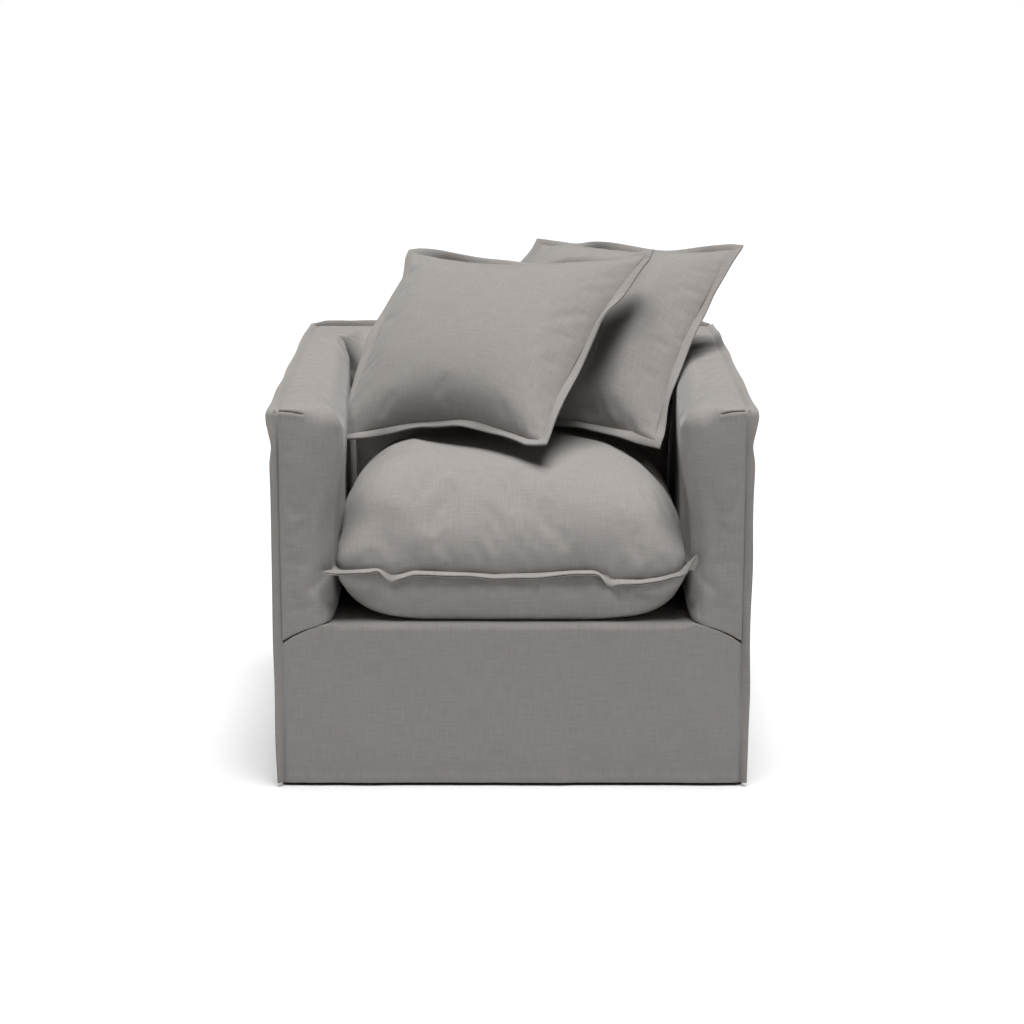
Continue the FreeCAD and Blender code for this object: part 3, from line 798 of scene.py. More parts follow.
def arm_form(side, seed):
    """The right arm's foam and cover from the front panel to the back, or the left arm's."""
    low = np.array([ARM_INNER_FRONT, FRONT, DECK + 0.0005])
    outer = SIDE - CLOTH
    obj = block(low, (outer, BACK_FACE - 0.0004, ARM_TOP_FRONT), 0.0072)
    p = points_of(obj)
    near = np.stack([p[:, 0] - low[0], p[:, 1] - FRONT, ARM_TOP_FRONT - p[:, 2]], axis=1)
    # Well rounded over the seat, nearly sharp towards the seam, a little softer at its edge
    tight, seam_edge = 0.0025, 0.0065
    radii = tight + (scene_sizes().edge_radius - tight) * smooth((0.072 - near[:, 0]) / 0.034)
    radii[near[:, 0] > 0.096] = seam_edge
    near = near + rounded(near, radii)
    y = FRONT + near[:, 1]
    z = ARM_TOP_FRONT - near[:, 2]
    z = z + (arm_top(y) - ARM_TOP_FRONT) * smooth((z - 0.45) / 0.17)
    inner = arm_inner(y, z)
    x = inner + near[:, 0] * (outer - inner) / (outer - low[0])
    at_front = 1 - smooth((y - FRONT) / 0.010)
    at_bottom = np.clip(1 - (z - low[2]) / 0.10, 0, 1)
    z = z + (apron_top(x) - DECK - 0.0022) * at_front * at_bottom
    behind = (y > FRONT + 0.010) & (z < arm_top(y) - 0.0305)
    x = np.where(behind, np.minimum(x, PANEL_INNER - GAP), x)
    move_points(obj, np.stack([x, y, z], axis=1))
    clean(obj)
    p = points_of(obj)
    hidden = (p[:, 0] > PANEL_INNER - 0.004) & (p[:, 1] > FRONT + 0.004)
    hidden &= p[:, 2] < arm_top(p[:, 1]) - 0.012
    held = hidden | (p[:, 0] > outer - 0.006) | (p[:, 1] > BACK_FACE - 0.012)
    held |= p[:, 2] < DECK + 0.010
    swell(obj, held, pressure=2.5, cap=0.006, slack=0.012)
    subdivide(obj)
    p, n = points_of(obj), normals_of(obj)
    free = smooth((outer - p[:, 0]) / 0.02) * smooth((BACK_FACE - p[:, 1]) / 0.02)
    free = free * smooth((p[:, 2] - DECK) / 0.04)
    ripple = 0.0012 * cloudy(p, (0.09, 0.11, 0.13), seed)
    ripple += 0.0006 * cloudy(p, (0.03, 0.04, 0.05), seed + 1)
    p = p + n * (ripple * free)[:, None]
    # The cover dips where the cushion's flange leans on it, and pulls a fold from there
    touch = np.stack([p[:, 0] - 0.312, p[:, 1] - FRONT, (p[:, 2] - 0.362)], axis=1)
    fold = peak(touch[:, 2] + 0.9 * touch[:, 0], 0.009)
    fold *= peak(touch[:, 0] - 0.008, 0.018) * peak(touch[:, 1], 0.02)
    p[:, 1] += 0.0035 * fold
    move_points(obj, p)
    p = dart(obj, outer)
    if side < 0:
        p[:, 0] *= -1
    move_points(obj, p)
    clean(obj, 0.00005)
    thread_map_by_side(obj, top=(1, 0), front=(0, 2), flank=(1, 2))
    shade(obj)
    return obj


def dart(obj, outer):
    """The arm's points, with the short dart sunk at the top outer corner of its front."""
    reach = 0.046  # length of the dart

    def line(x):
        share = np.clip((outer - x) / reach, 0, 1)
        return ARM_TOP_FRONT - 0.0018 - 0.0064 * share**2.2

    c = centres_of(obj)
    near = (np.abs(c[:, 2] - line(c[:, 0])) < 0.010) & (c[:, 1] < FRONT + 0.012)
    select_faces(obj, near & (c[:, 0] > outer - reach - 0.008))
    bpy.ops.mesh.subdivide(number_cuts=3)
    end_edit()
    p, n = points_of(obj), normals_of(obj)
    share = (outer - p[:, 0]) / reach
    depth = 0.0042 * (1 - smooth((share - 0.8) / 0.25)) * smooth((share + 0.02) / 0.05)
    dip = peak(p[:, 2] - line(p[:, 0]), 0.0013) * (p[:, 1] < FRONT + 0.01)
    swollen = peak(p[:, 2] - line(p[:, 0]) + 0.006, 0.004)
    swollen *= (p[:, 1] < FRONT + 0.01) * (share < 1)
    return p + n * (0.0008 * swollen * smooth(share / 0.2) - depth * dip)[:, None]


def back_form():
    """The foam and cover of the inside back, over webbing and top rail."""
    wide = SIDE - CLOTH
    low = (-wide, BACK_FACE, DECK + 0.0005)
    obj = block(low, (wide, REAR - CLOTH, BACK_TOP), 0.0085)
    p = points_of(obj)
    # The top edge's rounding is longer than it is deep
    long = 1.9
    near = np.stack(
        [np.full(len(p), 1.0), (p[:, 1] - BACK_FACE) / long, BACK_TOP - p[:, 2]], axis=1
    )
    between = smooth((ARM_INNER_REAR + 0.012 - np.abs(p[:, 0])) / 0.045)
    near = near + rounded(near, 0.003 + (scene_sizes().back_radius - 0.003) * between)
    x, y, z = p[:, 0], BACK_FACE + near[:, 1] * long, BACK_TOP - near[:, 2]
    y = np.where(z < BACK_TOP - 0.0215, np.minimum(y, WEBBING_FRONT - GAP), y)
    side_gap = PANEL_INNER - GAP
    x = np.where(z < BACK_TOP - 0.0305, np.clip(x, -side_gap, side_gap), x)
    move_points(obj, np.stack([x, y, z], axis=1))
    clean(obj)
    p = points_of(obj)
    held = (p[:, 1] > WEBBING_FRONT - 0.004) & (p[:, 2] < BACK_TOP - 0.012)
    held |= (np.abs(p[:, 0]) > ARM_INNER_REAR) | (p[:, 2] < DECK + 0.010)
    held |= p[:, 1] > REAR - 0.012
    swell(obj, held, pressure=2.5, cap=0.007, slack=0.012)
    subdivide(obj)
    p, n = points_of(obj), normals_of(obj)
    free = smooth((ARM_INNER_REAR - np.abs(p[:, 0])) / 0.03) * smooth((p[:, 2] - DECK) / 0.04)
    free = free * smooth((REAR - 0.01 - p[:, 1]) / 0.02)
    ripple = 0.0016 * cloudy(p, (0.12, 0.1, 0.10), 31) + 0.0006 * cloudy(p, (0.03,) * 3, 32)
    move_points(obj, p + n * (ripple * free)[:, None])
    thread_map_by_side(obj, top=(0, 1), front=(0, 2), flank=(1, 2))
    shade(obj)
    return obj


# ---------------------------------------------------------------- cover panels


def hem_step(height):
    """How far the doubled hem stands out of a panel at a height above the hem's edge."""
    depth = scene_sizes().hem_depth
    turned = 0.0011 * (1 - smooth((height - depth) / 0.0015))
    line = -0.0009 * peak(height - depth + 0.0018, 0.0012)
    return turned + line


def fall(along, height, seed, total):
    """The slight waves of a panel that hangs to the floor, strongest at its lower edge.

    They only stand outwards, because the boards and the padding are close behind the cloth.
    """
    low = np.clip(1 - height / total, 0, 1) ** 2
    wave = low * wander(along, seed, ((0.31, 0.0018), (0.14, 0.0009), (0.067, 0.0003)))
    wave = wave + 0.0006 * wander(along + height, seed + 1, ((0.2, 1.0),))
    return (wave + np.sqrt(wave * wave + 0.0006**2)) / 2


def panel_rows(v, straight):
    """Splits a panel's rows between its straight part and the roll at its top edge."""
    share = 0.86
    on_roll = np.clip((v - share) / (1 - share), 0, 1)
    return np.minimum(v / share, 1.0) * straight, on_roll


def apron():
    """The front panel: it hangs from the deck's edge and falls under the arms in a curve."""

    def shape(u, v):
        x = -SIDE + 2 * SIDE * u
        between = smooth((WAIST - 0.002 - np.abs(x)) / 0.016)
        bend = 0.0022 + 0.0098 * between
        run = 0.009 + 0.014 * between
        top = apron_top(x)
        height, roll = panel_rows(v, top - bend - HEM)
        arc = np.minimum(roll * 1.6, 1.0) * math.pi / 2
        back = np.clip((roll - 0.625) / 0.375, 0, 1) * run
        out = fall(x, height, *WAVES["front"]) + hem_step(height)
        ease = 1 - smooth(roll * 2)
        z = HEM + height + bend * np.sin(arc)
        y = FRONT + APRON_BACK + bend * (1 - np.cos(arc)) + back - out * ease
        y = y + 0.0040 * smooth((np.abs(x) - SIDE + 0.007) / 0.007)
        # Small puckers where the seam under each arm is drawn tight
        draw = peak(top - z, 0.012) * (np.abs(x) > SEAM_INNER)
        y = y - 0.0006 * draw * wander(x, 12, ((0.031, 1.0), (0.052, 0.7)))
        return x, y, z, height + bend * arc + back

    return sheet_grid(190, 84, lambda u, v: shape(u, v)[:3], lambda u, v: shape(u, v)[::3])


def side_panel(side, name):
    """The outside arm: a flat panel from hem to arm top, between its flanged seams."""
    length = REAR - FRONT - 2 * CLOTH

    def shape(u, v):
        y = FRONT + CLOTH + length * u
        height = v * (arm_top(y) - 0.0010 - HEM)
        out = fall(y, height, *WAVES[name]) + hem_step(height)
        edge = smooth(np.minimum(u, 1 - u) * length / 0.01)
        return side * (SIDE - PANEL_IN + out * edge), y, HEM + height

    return sheet_grid(150, 120, shape, lambda u, v: shape(u, v)[1:])


def rear_panel():
    """The outside back: one flat panel across the whole width."""

    def shape(u, v):
        x = SIDE * (1 - 2 * u)
        height = v * (BACK_TOP - 0.0008 - HEM)
        out = fall(x, height, *WAVES["rear"]) + hem_step(height)
        edge = smooth(np.minimum(u, 1 - u) * 2 * SIDE / 0.01)
        return x, REAR - PANEL_IN + out * edge, HEM + height

    return sheet_grid(150, 120, shape, lambda u, v: shape(u, v)[::2])


def deck_panel():
    """The cover's deck under the cushion, slack over the springs."""
    half = PANEL_INNER - 0.001
    y0, y1 = FRONT + 0.012, WEBBING_FRONT - 0.001

    def shape(u, v):
        x = half * (2 * u - 1)
        y = y0 + (y1 - y0) * v
        slack = np.sin(u * math.pi) * np.sin(v * math.pi)
        z = DECK - 0.0002 - 0.0014 * slack + 0.0004 * wander(x + y, 21, ((0.08, 1.0),)) * slack
        return x, y, z

    return sheet_grid(100, 100, shape, lambda u, v: shape(u, v)[:2])


def flat_sheet(obj, thickness, turned=False):
    """Gives a laid-out grid its thickness, on the side away from its face."""
    if turned:
        flip(obj)
    apply_modifier(obj, "SOLIDIFY", thickness=thickness, offset=-1.0)
    shade(obj, 50)
    return obj


def side_flange(side):
    """The flange of the side seam: up the front corner, over the top and along the arm."""
    width = scene_sizes().flange_width
    pitch, corner, sunk = 0.006, 0.010, 0.0016  # sunk: how deep the seam lies in the arm
    x = SIDE - 0.0005
    y_front = FRONT + sunk
    places = [(x, y_front, z) for z in np.arange(HEM + 0.001, ARM_TOP_FRONT - corner, pitch)]
    for angle in np.linspace(0, math.pi / 2, 7):
        places.append(
            (
                x,
                y_front + corner * (1 - math.cos(angle)),
                ARM_TOP_FRONT - sunk - corner + corner * math.sin(angle),
            )
        )
    for y in np.arange(y_front + corner + pitch, REAR - 0.001, pitch):
        places.append((x, y, float(arm_top(y)) - sunk))
    path = np.array(places)
    along = lengths_along(path)
    seed = 41 if side > 0 else 42
    ahead = unit(np.gradient(path, axis=0))
    out = np.tile([1.0, 0.0, 0.0], (len(path), 1))
    up = np.cross(out, ahead)
    turn = along[-1] - (REAR - FRONT)
    # It leans towards the front panel, and on top of the arm it leans up
    in_front = smooth((turn - along) / 0.03 + 0.5)
    lean = (0.07 + 0.11 * in_front) * wander(along, seed, ((0.27, 1.0), (0.47, 0.8)))
    lean = lean - 0.30 - 0.20 * in_front
    # The corner tip stands up and out, and the cloth is pinched in a little below it
    tip = peak(along - turn, 0.020)
    pinch = peak(along - turn + 0.052, 0.020)
    lean = lean + 0.45 * tip
    way, stand = leaned(out, up, -lean)
    reach = 1 + 0.07 * wander(along, seed + 4, ((0.23, 1.0),)) + 0.36 * tip
    reach = reach - 0.38 * pinch
    obj = flange(path, way * reach[:, None], stand, width, ply=0.0021, closed=False)
    if side < 0:
        move_points(obj, points_of(obj) * (-1, 1, 1))
        flip(obj)
    return obj


def back_flange():
    """The flange that stands up from the seam along the top of the back."""
    half = SIDE + 0.007
    x = np.arange(-half, half + 0.003, 0.006)
    ends = smooth((np.abs(x) - half + 0.030) / 0.030)
    path = np.stack([x, np.full_like(x, REAR - 0.0019), BACK_TOP - 0.0010 - 0.0012 * ends], axis=1)
    lean = -0.55 + 0.16 * wander(x, 51, ((0.23, 1.0), (0.10, 0.3), (0.41, 0.8)))
    way, stand = leaned(UP, np.array([0, -1.0, 0]), lean)
    reach = (1 + 0.06 * wander(x, 55, ((0.15, 1.0), (0.07, 0.4)))) * (1 - 0.45 * ends)
    return flange(path, way * reach[:, None], stand, width=0.0125, ply=0.0018, closed=False)


def hem_stitching():
    """The row of stitches that holds the hem, round the front, the sides and the back."""
    sizes = scene_sizes()
    z = HEM + sizes.hem_depth - 0.0018
    edge = 0.006  # left free at each corner
    pitch, thread_radius = sizes.stitch_pitch, 0.00042
    length = pitch * 0.72
    rows = []
    for panel, start, end, out, inset in (
        ("front", (-SIDE + edge, FRONT), (SIDE - edge, FRONT), (0, -1, 0), APRON_BACK),
        ("right", (SIDE, FRONT + edge), (SIDE, REAR - edge), (1, 0, 0), PANEL_IN),
        ("rear", (SIDE - edge, REAR), (-SIDE + edge, REAR), (0, 1, 0), PANEL_IN),
        ("left", (-SIDE, REAR - edge), (-SIDE, FRONT + edge), (-1, 0, 0), PANEL_IN),
    ):
        t = np.linspace(0, 1, 400)
        x = start[0] + (end[0] - start[0]) * t
        y = start[1] + (end[1] - start[1]) * t
        height = np.full_like(t, z - HEM)
        along = x if out[0] == 0 else y
        stand = fall(along, height, *WAVES[panel]) + hem_step(height) - inset
        path = np.stack([x + out[0] * stand, y + out[1] * stand, np.full_like(t, z)], axis=1)
        facing = np.tile(np.array(out, float), (len(t), 1))
        rows.append(stitches(path, facing, pitch, length, thread_radius))
    return joined(rows)


# ---------------------------------------------------------------- seat cushion

SEAM = (FLANGE_LOW.z + FLANGE_HIGH.z) / 2
# Where the front seam of the cushion rides up and down, as (x, rise)
FRONT_SEAM = (
    (-0.31, 0.000), (-0.27, 0.001), (-0.235, 0.004), (-0.216, 0.003), (-0.202, -0.006),
    (-0.185, -0.005), (-0.165, 0.001), (-0.10, -0.002), (-0.03, -0.005), (0.04, -0.003),
    (0.10, 0.000), (0.135, 0.001), (0.150, -0.006), (0.168, -0.014), (0.215, -0.015),
    (0.245, -0.011), (0.275, -0.003), (0.295, 0.006), (0.31, 0.010),
)
# Where the flange folds sharply, as (x, turn down in radians)
FLANGE_KINKS = ((-0.206, 0.75), (-0.222, -0.45), (0.146, -0.40), (0.160, 0.80))


def seam_rise(x, y):
    """How far the cushion's flanged seam rides above its level, at a place on its edge."""
    spots = np.array(FRONT_SEAM)
    near = np.stack([np.interp(x + d, spots[:, 0], spots[:, 1]) for d in (-0.005, 0, 0.005)])
    front = near.mean(axis=0)
    around = wander(y + 0.3 * x, 61, ((0.21, 0.003), (0.09, 0.0015)))
    share = smooth((y - CUSHION_LOW.y) / 0.10)
    return front * (1 - share) + around * share


def cushion_form():
    """The seat cushion's filling and cover: high crown over the seam, shallow belly under it."""
    low, high = Vector(CUSHION_LOW), Vector(CUSHION_HIGH)
    low.x, high.x = -CUSHION_HIGH.x, CUSHION_HIGH.x
    obj = block(low, high, 0.0082)
    p = points_of(obj)
    middle_y, half_y = (low.y + high.y) / 2, (high.y - low.y) / 2
    over = scene_sizes().cushion_crown
    under = SEAM - low.z
    start = 0.998  # share of the cushion's reach at its seam
    above = p[:, 2] > SEAM
    u, v = p[:, 0] / high.x, (p[:, 1] - middle_y) / half_y
    w = np.where(above, (p[:, 2] - SEAM) / (high.z - SEAM), (SEAM - p[:, 2]) / under)
    plan = np.where(above, 4.8, 8.0) + 26.0 * peak(w, 0.22)
    edge = (np.abs(u) ** plan + np.abs(v) ** plan) ** (1 / plan)
    # Over the seam one high crown
    side = 3.1
    reach = (edge**side + w**side) ** (1 / side)
    crown = np.stack(
        [
            u / reach * high.x * start,
            middle_y + v / reach * half_y * start,
            SEAM + w / reach * over * 0.975,
        ],
        axis=1,
    )
    shoulder = peak(crown[:, 0] + 0.225, 0.065) * smooth((w - 0.25) / 0.4)
    crown[:, 2] += 0.026 * shoulder * smooth((0.10 - crown[:, 1]) / 0.2)
    # Under it a belly with upright sides, rounded where it meets the deck
    inside = np.maximum(np.abs(u), np.abs(v)) / np.maximum(edge, 1e-9)
    turn = 1 - np.sqrt(1 - np.clip((w - 0.18) / 0.82, 0, 1) ** 2)
    bulge = 0.006 * np.sin(math.pi * np.clip(w, 0, 1))
    to_rear = smooth((v + 0.6) / 1.2)
    belly = np.stack(
        [
            u * inside * (high.x * start - 0.092 * turn),
            middle_y + v * inside * (half_y * start + bulge - (0.010 + 0.030 * to_rear) * turn),
            SEAM - w * under,
        ],
        axis=1,
    )
    p = np.where(above[:, None], crown, belly)
    p[:, 2] = np.maximum(p[:, 2], low.z)
    p[:, 2] += seam_rise(p[:, 0], p[:, 1]) * peak(p[:, 2] - SEAM, 0.035)
    move_points(obj, p)
    off_seam = p[:, 2] - SEAM - seam_rise(p[:, 0], p[:, 1])
    held = (np.abs(off_seam) < 0.0045) | (p[:, 2] < low.z + 0.002)
    swell(obj, held, pressure=4.0, cap=0.016, slack=0.010, bending=2.0)
    p = keep_cushion_in(points_of(obj))
    move_points(obj, p)
    subdivide(obj)
    p, n = points_of(obj), normals_of(obj)
    off_seam = p[:, 2] - SEAM - seam_rise(p[:, 0], p[:, 1])
    # The seam draws the cloth in, and soft folds run away from it above and below
    p = p - n * (0.004 * np.exp(-np.abs(off_seam) / 0.006))[:, None]
    gather = cloudy(p * (1, 1, 0.10), (0.017, 0.017, 0.02), 71)
    gather = np.sign(gather) * np.abs(gather) ** 0.8
    fade = np.exp(-np.abs(off_seam) / 0.022) * (1 - np.exp(-np.abs(off_seam) / 0.005))
    broad = cloudy(p * (1, 1, 0.2), (0.055, 0.055, 0.03), 72)
    broad_fade = np.exp(-np.abs(off_seam) / 0.050)
    soft = cloudy(p, (0.16, 0.16, 0.14), 73)
    bottom = smooth((p[:, 2] - low.z) / 0.012)
    move = 0.0026 * gather * fade + 0.0040 * broad * broad_fade + 0.0030 * soft
    p = p + n * (move * bottom)[:, None]
    move_points(obj, keep_cushion_in(p))
    thread_map_by_side(obj, top=(0, 1), front=(0, 2), flank=(2, 1))
    shade(obj)
    return obj


def keep_cushion_in(p):
    """Keeps the cushion between the arms along its whole slide, off the deck and the back."""
    room = arm_inner(np.full(len(p), FRONT), p[:, 2]) - 0.0022
    p[:, 0] = np.clip(p[:, 0], -room, room)
    p[:, 1] = np.minimum(p[:, 1], CUSHION_HIGH.y - 0.0004)
    p[:, 2] = np.maximum(p[:, 2], CUSHION_LOW.z + 0.0001)
    return p


def cushion_flange():
    """The cushion's flange: two plies standing out of the seam, waving and drooping a little."""
    middle = (CUSHION_LOW.y + CUSHION_HIGH.y) / 2
    half_y = (CUSHION_HIGH.y - CUSHION_LOW.y) / 2
    corner, width, ply = 0.022, 0.0140, 0.0026
    inset = 0.003  # the seam is drawn in by this much
    flat, ways, turns = ring(CUSHION_HIGH.x - inset, half_y - inset, corner, pitch=0.005)
    ways = point_out(ways, turns, corner, width)
    along = lengths_along(np.vstack([flat, flat[:1]]))[:-1]
    x, y = flat[:, 0], flat[:, 1] + middle
    at_front = 1 - smooth((y - CUSHION_LOW.y) / 0.06)
    # Between its kinks the flange droops evenly; at each kink it folds up or down
    drop = 0.20 * at_front + 0.10 + 0.16 * wander(along, 81, ((0.17, 0.7), (0.09, 0.3)))
    for place, fold in FLANGE_KINKS:
        drop = drop + fold * at_front * peak(x - place, 0.011)
    tip = smooth((1 / turns - 1.02) / 0.3)
    drop = drop * (1 - tip) - np.where(x > 0, 0.75, 0.05) * tip
    level = unit(np.column_stack([ways, np.zeros(len(ways))]))
    length = np.linalg.norm(ways, axis=1)
    length = length * (1 + 0.55 * tip * at_front)
    away, stand = leaned(level, UP, -drop)
    # Beside the arms and the back there is less room
    squeeze = np.where(np.abs(ways[:, 0]) > 0.9 * length, 0.68, 1.0)
    squeeze = np.where(ways[:, 1] > 0.9 * length, 0.78, squeeze)
    path = np.stack([x, y, SEAM + seam_rise(x, y)], axis=1)
    obj = flange(path, away * (length * squeeze)[:, None], stand, width, ply, closed=True)
    p = points_of(obj)
    # At the front corners the arms' rounded edges leave it room
    room = FLANGE_HIGH.x + 0.0002 + 0.010 * smooth((FLANGE_LOW.y + 0.014 - p[:, 1]) / 0.008)
    p[:, 0] = np.clip(p[:, 0], -room, room)
    p[:, 1] = np.clip(p[:, 1], FLANGE_LOW.y - 0.005, FLANGE_HIGH.y)
    p[:, 2] = np.maximum(p[:, 2], DECK + 0.002)
    move_points(obj, p)
    return obj


# ---------------------------------------------------------------- pillows


def pillow_matrix(place):
    """From a pillow lying flat at the origin to its place on the chair."""
    centre, (turn, slope, roll) = place
    spin = (
        Matrix.Rotation(math.radians(turn), 4, "Z")
        @ Matrix.Rotation(math.radians(slope), 4, "X")
        @ Matrix.Rotation(math.radians(roll), 4, "Z")
    )
    return Matrix.Translation(centre) @ spin


# How each pillow is pulled out of square: the shift of its corners, from the top left one
# round by the right, then how far its lower side is pushed up, its right side pulled in, its
# left side pushed out, its top left corner blunted and its top side pulled down
PULLED = {
    "left_pillow": (
        ((-0.072, 0.056), (0.010, 0.008), (-0.042, -0.011), (-0.008, -0.006)),
        (0.038, 0.014, 0.036, 0.0, 0.018),
    ),
    "right_pillow": (
        ((0.016, 0.034), (0.012, 0.026), (0.028, -0.006), (0.0, 0.0)),
        (0.014, 0.008, 0.0, 0.022, 0.010),
    ),
}


def drawn_in(x, y, half, name):
    """A pillow's plan: its sides pull in between the corners, and it is pulled out of square."""
    corners, (push, nip, spread, blunt, sag) = PULLED[name]
    pull = 0.050
    u, v = np.clip(x / half, -1, 1), np.clip(y / half, -1, 1)
    x, y = x * (1 - pull * (1 - v * v) * np.abs(u)), y * (1 - pull * (1 - u * u) * np.abs(v))
    for (a, b), (dx, dy) in zip(((-1, 1), (1, 1), (1, -1), (-1, -1)), corners):
        share = ((1 + a * u) * (1 + b * v) / 4) ** 1.3
        x, y = x + share * dx, y + share * dy
    y = y + push * np.clip(-v, 0, 1) ** 2 * (1 - (u + 0.15) ** 2).clip(0)
    y = y - sag * np.clip(v, 0, 1) ** 2 * (1 - u * u)
    x = x - nip * np.clip(u, 0, 1) ** 2 * (1 - v * v)
    x = x - spread * np.clip(-u, 0, 1) ** 2 * (1 - (v + 0.25) ** 2).clip(0)
    near_corner = np.exp(-((u + 1) ** 2 + (v - 1) ** 2) / 0.10)
    return x + blunt * near_corner, y - blunt * near_corner


def pillow_form(seed, name):
    """A scatter pillow lying flat: two squares of cloth sewn round a soft filling."""
    half = scene_sizes().pillow_half
    cell = 0.0062
    obj = block((-half, -half, -cell), (half, half, cell), cell)
    p = points_of(obj)
    u, v, w = p[:, 0] / half, p[:, 1] / half, p[:, 2] / cell
    lift = ((1 - np.abs(u) ** 2.3) * (1 - np.abs(v) ** 2.3)).clip(0) ** 0.62
    filling = 1 - 0.10 * v + 0.05 * u * (1 if seed % 2 else -1)
    thickness = scene_sizes().pillow_thickness / 2
    x, y = drawn_in(p[:, 0], p[:, 1], half, name)
    rest = p[:, :2]
    p = np.stack([x, y, w * (0.0012 + 0.86 * thickness * lift * filling)], axis=1)
    move_points(obj, p)
    thread_map(obj, rest)
    held = np.maximum(np.abs(u), np.abs(v)) > 1 - 0.3 * cell / half
    swell(obj, held, pressure=3.5, cap=0.020, slack=0.006, bending=3.0)
    subdivide(obj)
    p, n = points_of(obj), normals_of(obj)
    u, v = p[:, 0] / half, p[:, 1] / half
    edge = 1 - np.maximum(np.abs(u), np.abs(v)).clip(0, 1)
    # Gathers at the seam run inwards, longest at the corners
    slant = np.arctan2(v, u)
    spoke = np.stack([np.cos(slant) * 0.3, np.sin(slant) * 0.3, np.sign(p[:, 2]) * 0.1], axis=1)
    gather = cloudy(spoke, (0.024, 0.024, 0.2), seed + 3)
    corner = (np.abs(u) * np.abs(v)).clip(0, 1) ** 1.5
    fade = np.exp(-edge / (0.06 + 0.16 * corner)) * (1 - np.exp(-edge / 0.03))
    soft = cloudy(p, (0.14, 0.14, 0.14), seed + 4)
    move = 0.0018 * gather * fade + 0.0032 * soft * (1 - np.exp(-edge / 0.1))
    if name == "right_pillow":
        # The pillow in front presses a long upright fold into this one
        face = smooth(p[:, 2] / 0.02) * np.exp(-((v / 0.92) ** 4))
        line = p[:, 0] - 0.075 + 0.12 * p[:, 1]
        move += face * (0.009 * peak(line - 0.064, 0.026))
        move -= face * (0.014 * peak(line, 0.028))
    move_points(obj, p + n * move[:, None])
    shade(obj)
    return obj


def pillow_flange(seed, name):
    """The pillow's flange: two plies round the seam, in long slow waves."""
    half = scene_sizes().pillow_half
    corner, width, ply = 0.012, 0.0155, 0.0021
    inset = 0.0015  # the seam is drawn in by this much
    flat, ways, turns = ring(half - inset, half - inset, corner, pitch=0.005)
    ways = point_out(ways, turns, corner, width)
    x, y = drawn_in(flat[:, 0], flat[:, 1], half, name)
    lengths = lengths_along(np.vstack([flat, flat[:1]]))
    along = lengths[:-1]
    lean = 0.34 * wander(along, seed, ((0.23, 0.9), (0.12, 0.30), (0.41, 0.5)))
    lean = lean * np.clip(np.minimum(along, along[-1] - along) / 0.05, 0, 1)
    level = unit(np.column_stack([ways, np.zeros(len(ways))]))
    length = np.linalg.norm(ways, axis=1)
    away, stand = leaned(level, UP, lean)
    around = 2 * math.pi * along / lengths[-1]
    wave = 0.0026 * np.sin(around * 7 + seed) + 0.0012 * np.sin(around * 12 + 2 * seed)
    path = np.stack([x, y, wave * np.clip(turns * 8 - 7, 0, 1)], axis=1)
    return flange(path, away * length[:, None], stand, width, ply, closed=True)


def lay(obj, place):
    """Lays a flat pillow piece in its place on the chair."""
    m = np.array(pillow_matrix(place))
    p = points_of(obj)
    move_points(obj, p @ m[:3, :3].T + m[:3, 3])


# ---------------------------------------------------------------- hidden soft pieces


def foam_pad(low, high, cell, radius, seed):
    """A cut foam or felt pad with softened edges."""
    obj = block(low, high, cell)
    p = points_of(obj)
    low, high = np.array(low), np.array(high)
    near = np.minimum(p - low, high - p)
    shift = rounded(near, np.full(len(p), radius))
    sign = np.where(p - low < high - p, 1.0, -1.0)
    move_points(obj, p + shift * sign)
    subdivide(obj)
    p, n = points_of(obj), normals_of(obj)
    soft = cloudy(p, (0.05, 0.05, 0.05), seed) - 1.0
    move_points(obj, p + n * (0.0005 * soft)[:, None])
    shade(obj, 60)
    return obj


def dust_sheet():
    """The dust cloth tacked under the frame, cut out round the legs, sagging between rails."""
    low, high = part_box("dust_cover")
    leg_low, leg_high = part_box("legs")
    cut = 0.050  # side of the cut round each leg
    inner_x = leg_high.x - cut
    reach_front, reach_rear = leg_low.y + cut, leg_high.y - cut

    def shape(u, v):
        x = low.x + (high.x - low.x) * u
        y = low.y + (high.y - low.y) * v
        sag = 0.0045 * (np.sin(u * math.pi) * np.sin(v * math.pi)) ** 0.7
        sag = sag + 0.0005 * wander(x - y, 91, ((0.11, 1.0), (0.05, 0.5))) * np.sin(u * math.pi)
        return x, y, high.z - 0.0001 - np.maximum(sag, 0)

    obj = sheet_grid(96, 96, shape, lambda u, v: shape(u, v)[:2])
    c = centres_of(obj)
    at_leg = (np.abs(c[:, 0]) > inner_x) & ((c[:, 1] < reach_front) | (c[:, 1] > reach_rear))
    select_faces(obj, at_leg)
    bpy.ops.mesh.delete(type="FACE")
    end_edit()
    return flat_sheet(obj, 0.0006)


def closure_tapes():
    """Two upright pairs of hook and loop strips that close the cover's back panel."""
    low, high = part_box("closure_tape")
    wide, ply = TAPE_WIDE, (high.y - low.y) / 2
    strips = []
    for side in (-1, 1):
        for layer in (0, 1):
            middle = side * (high.x - wide / 2)
            face = low.y + (layer + 0.5) * ply

            def shape(u, v, middle=middle, face=face, phase=3 * layer + side):
                bow = 0.00025 * np.sin(v * 7 + phase)
                return middle + wide * (u - 0.5), face + bow, low.z + (high.z - low.z) * v

            strip = sheet_grid(12, 36, shape, lambda u, v: (u * wide, v * (high.z - low.z)))
            apply_modifier(strip, "SOLIDIFY", thickness=ply * 0.7, offset=0.0)
            shade(strip, 40)
            strips.append(strip)
    return joined(strips)


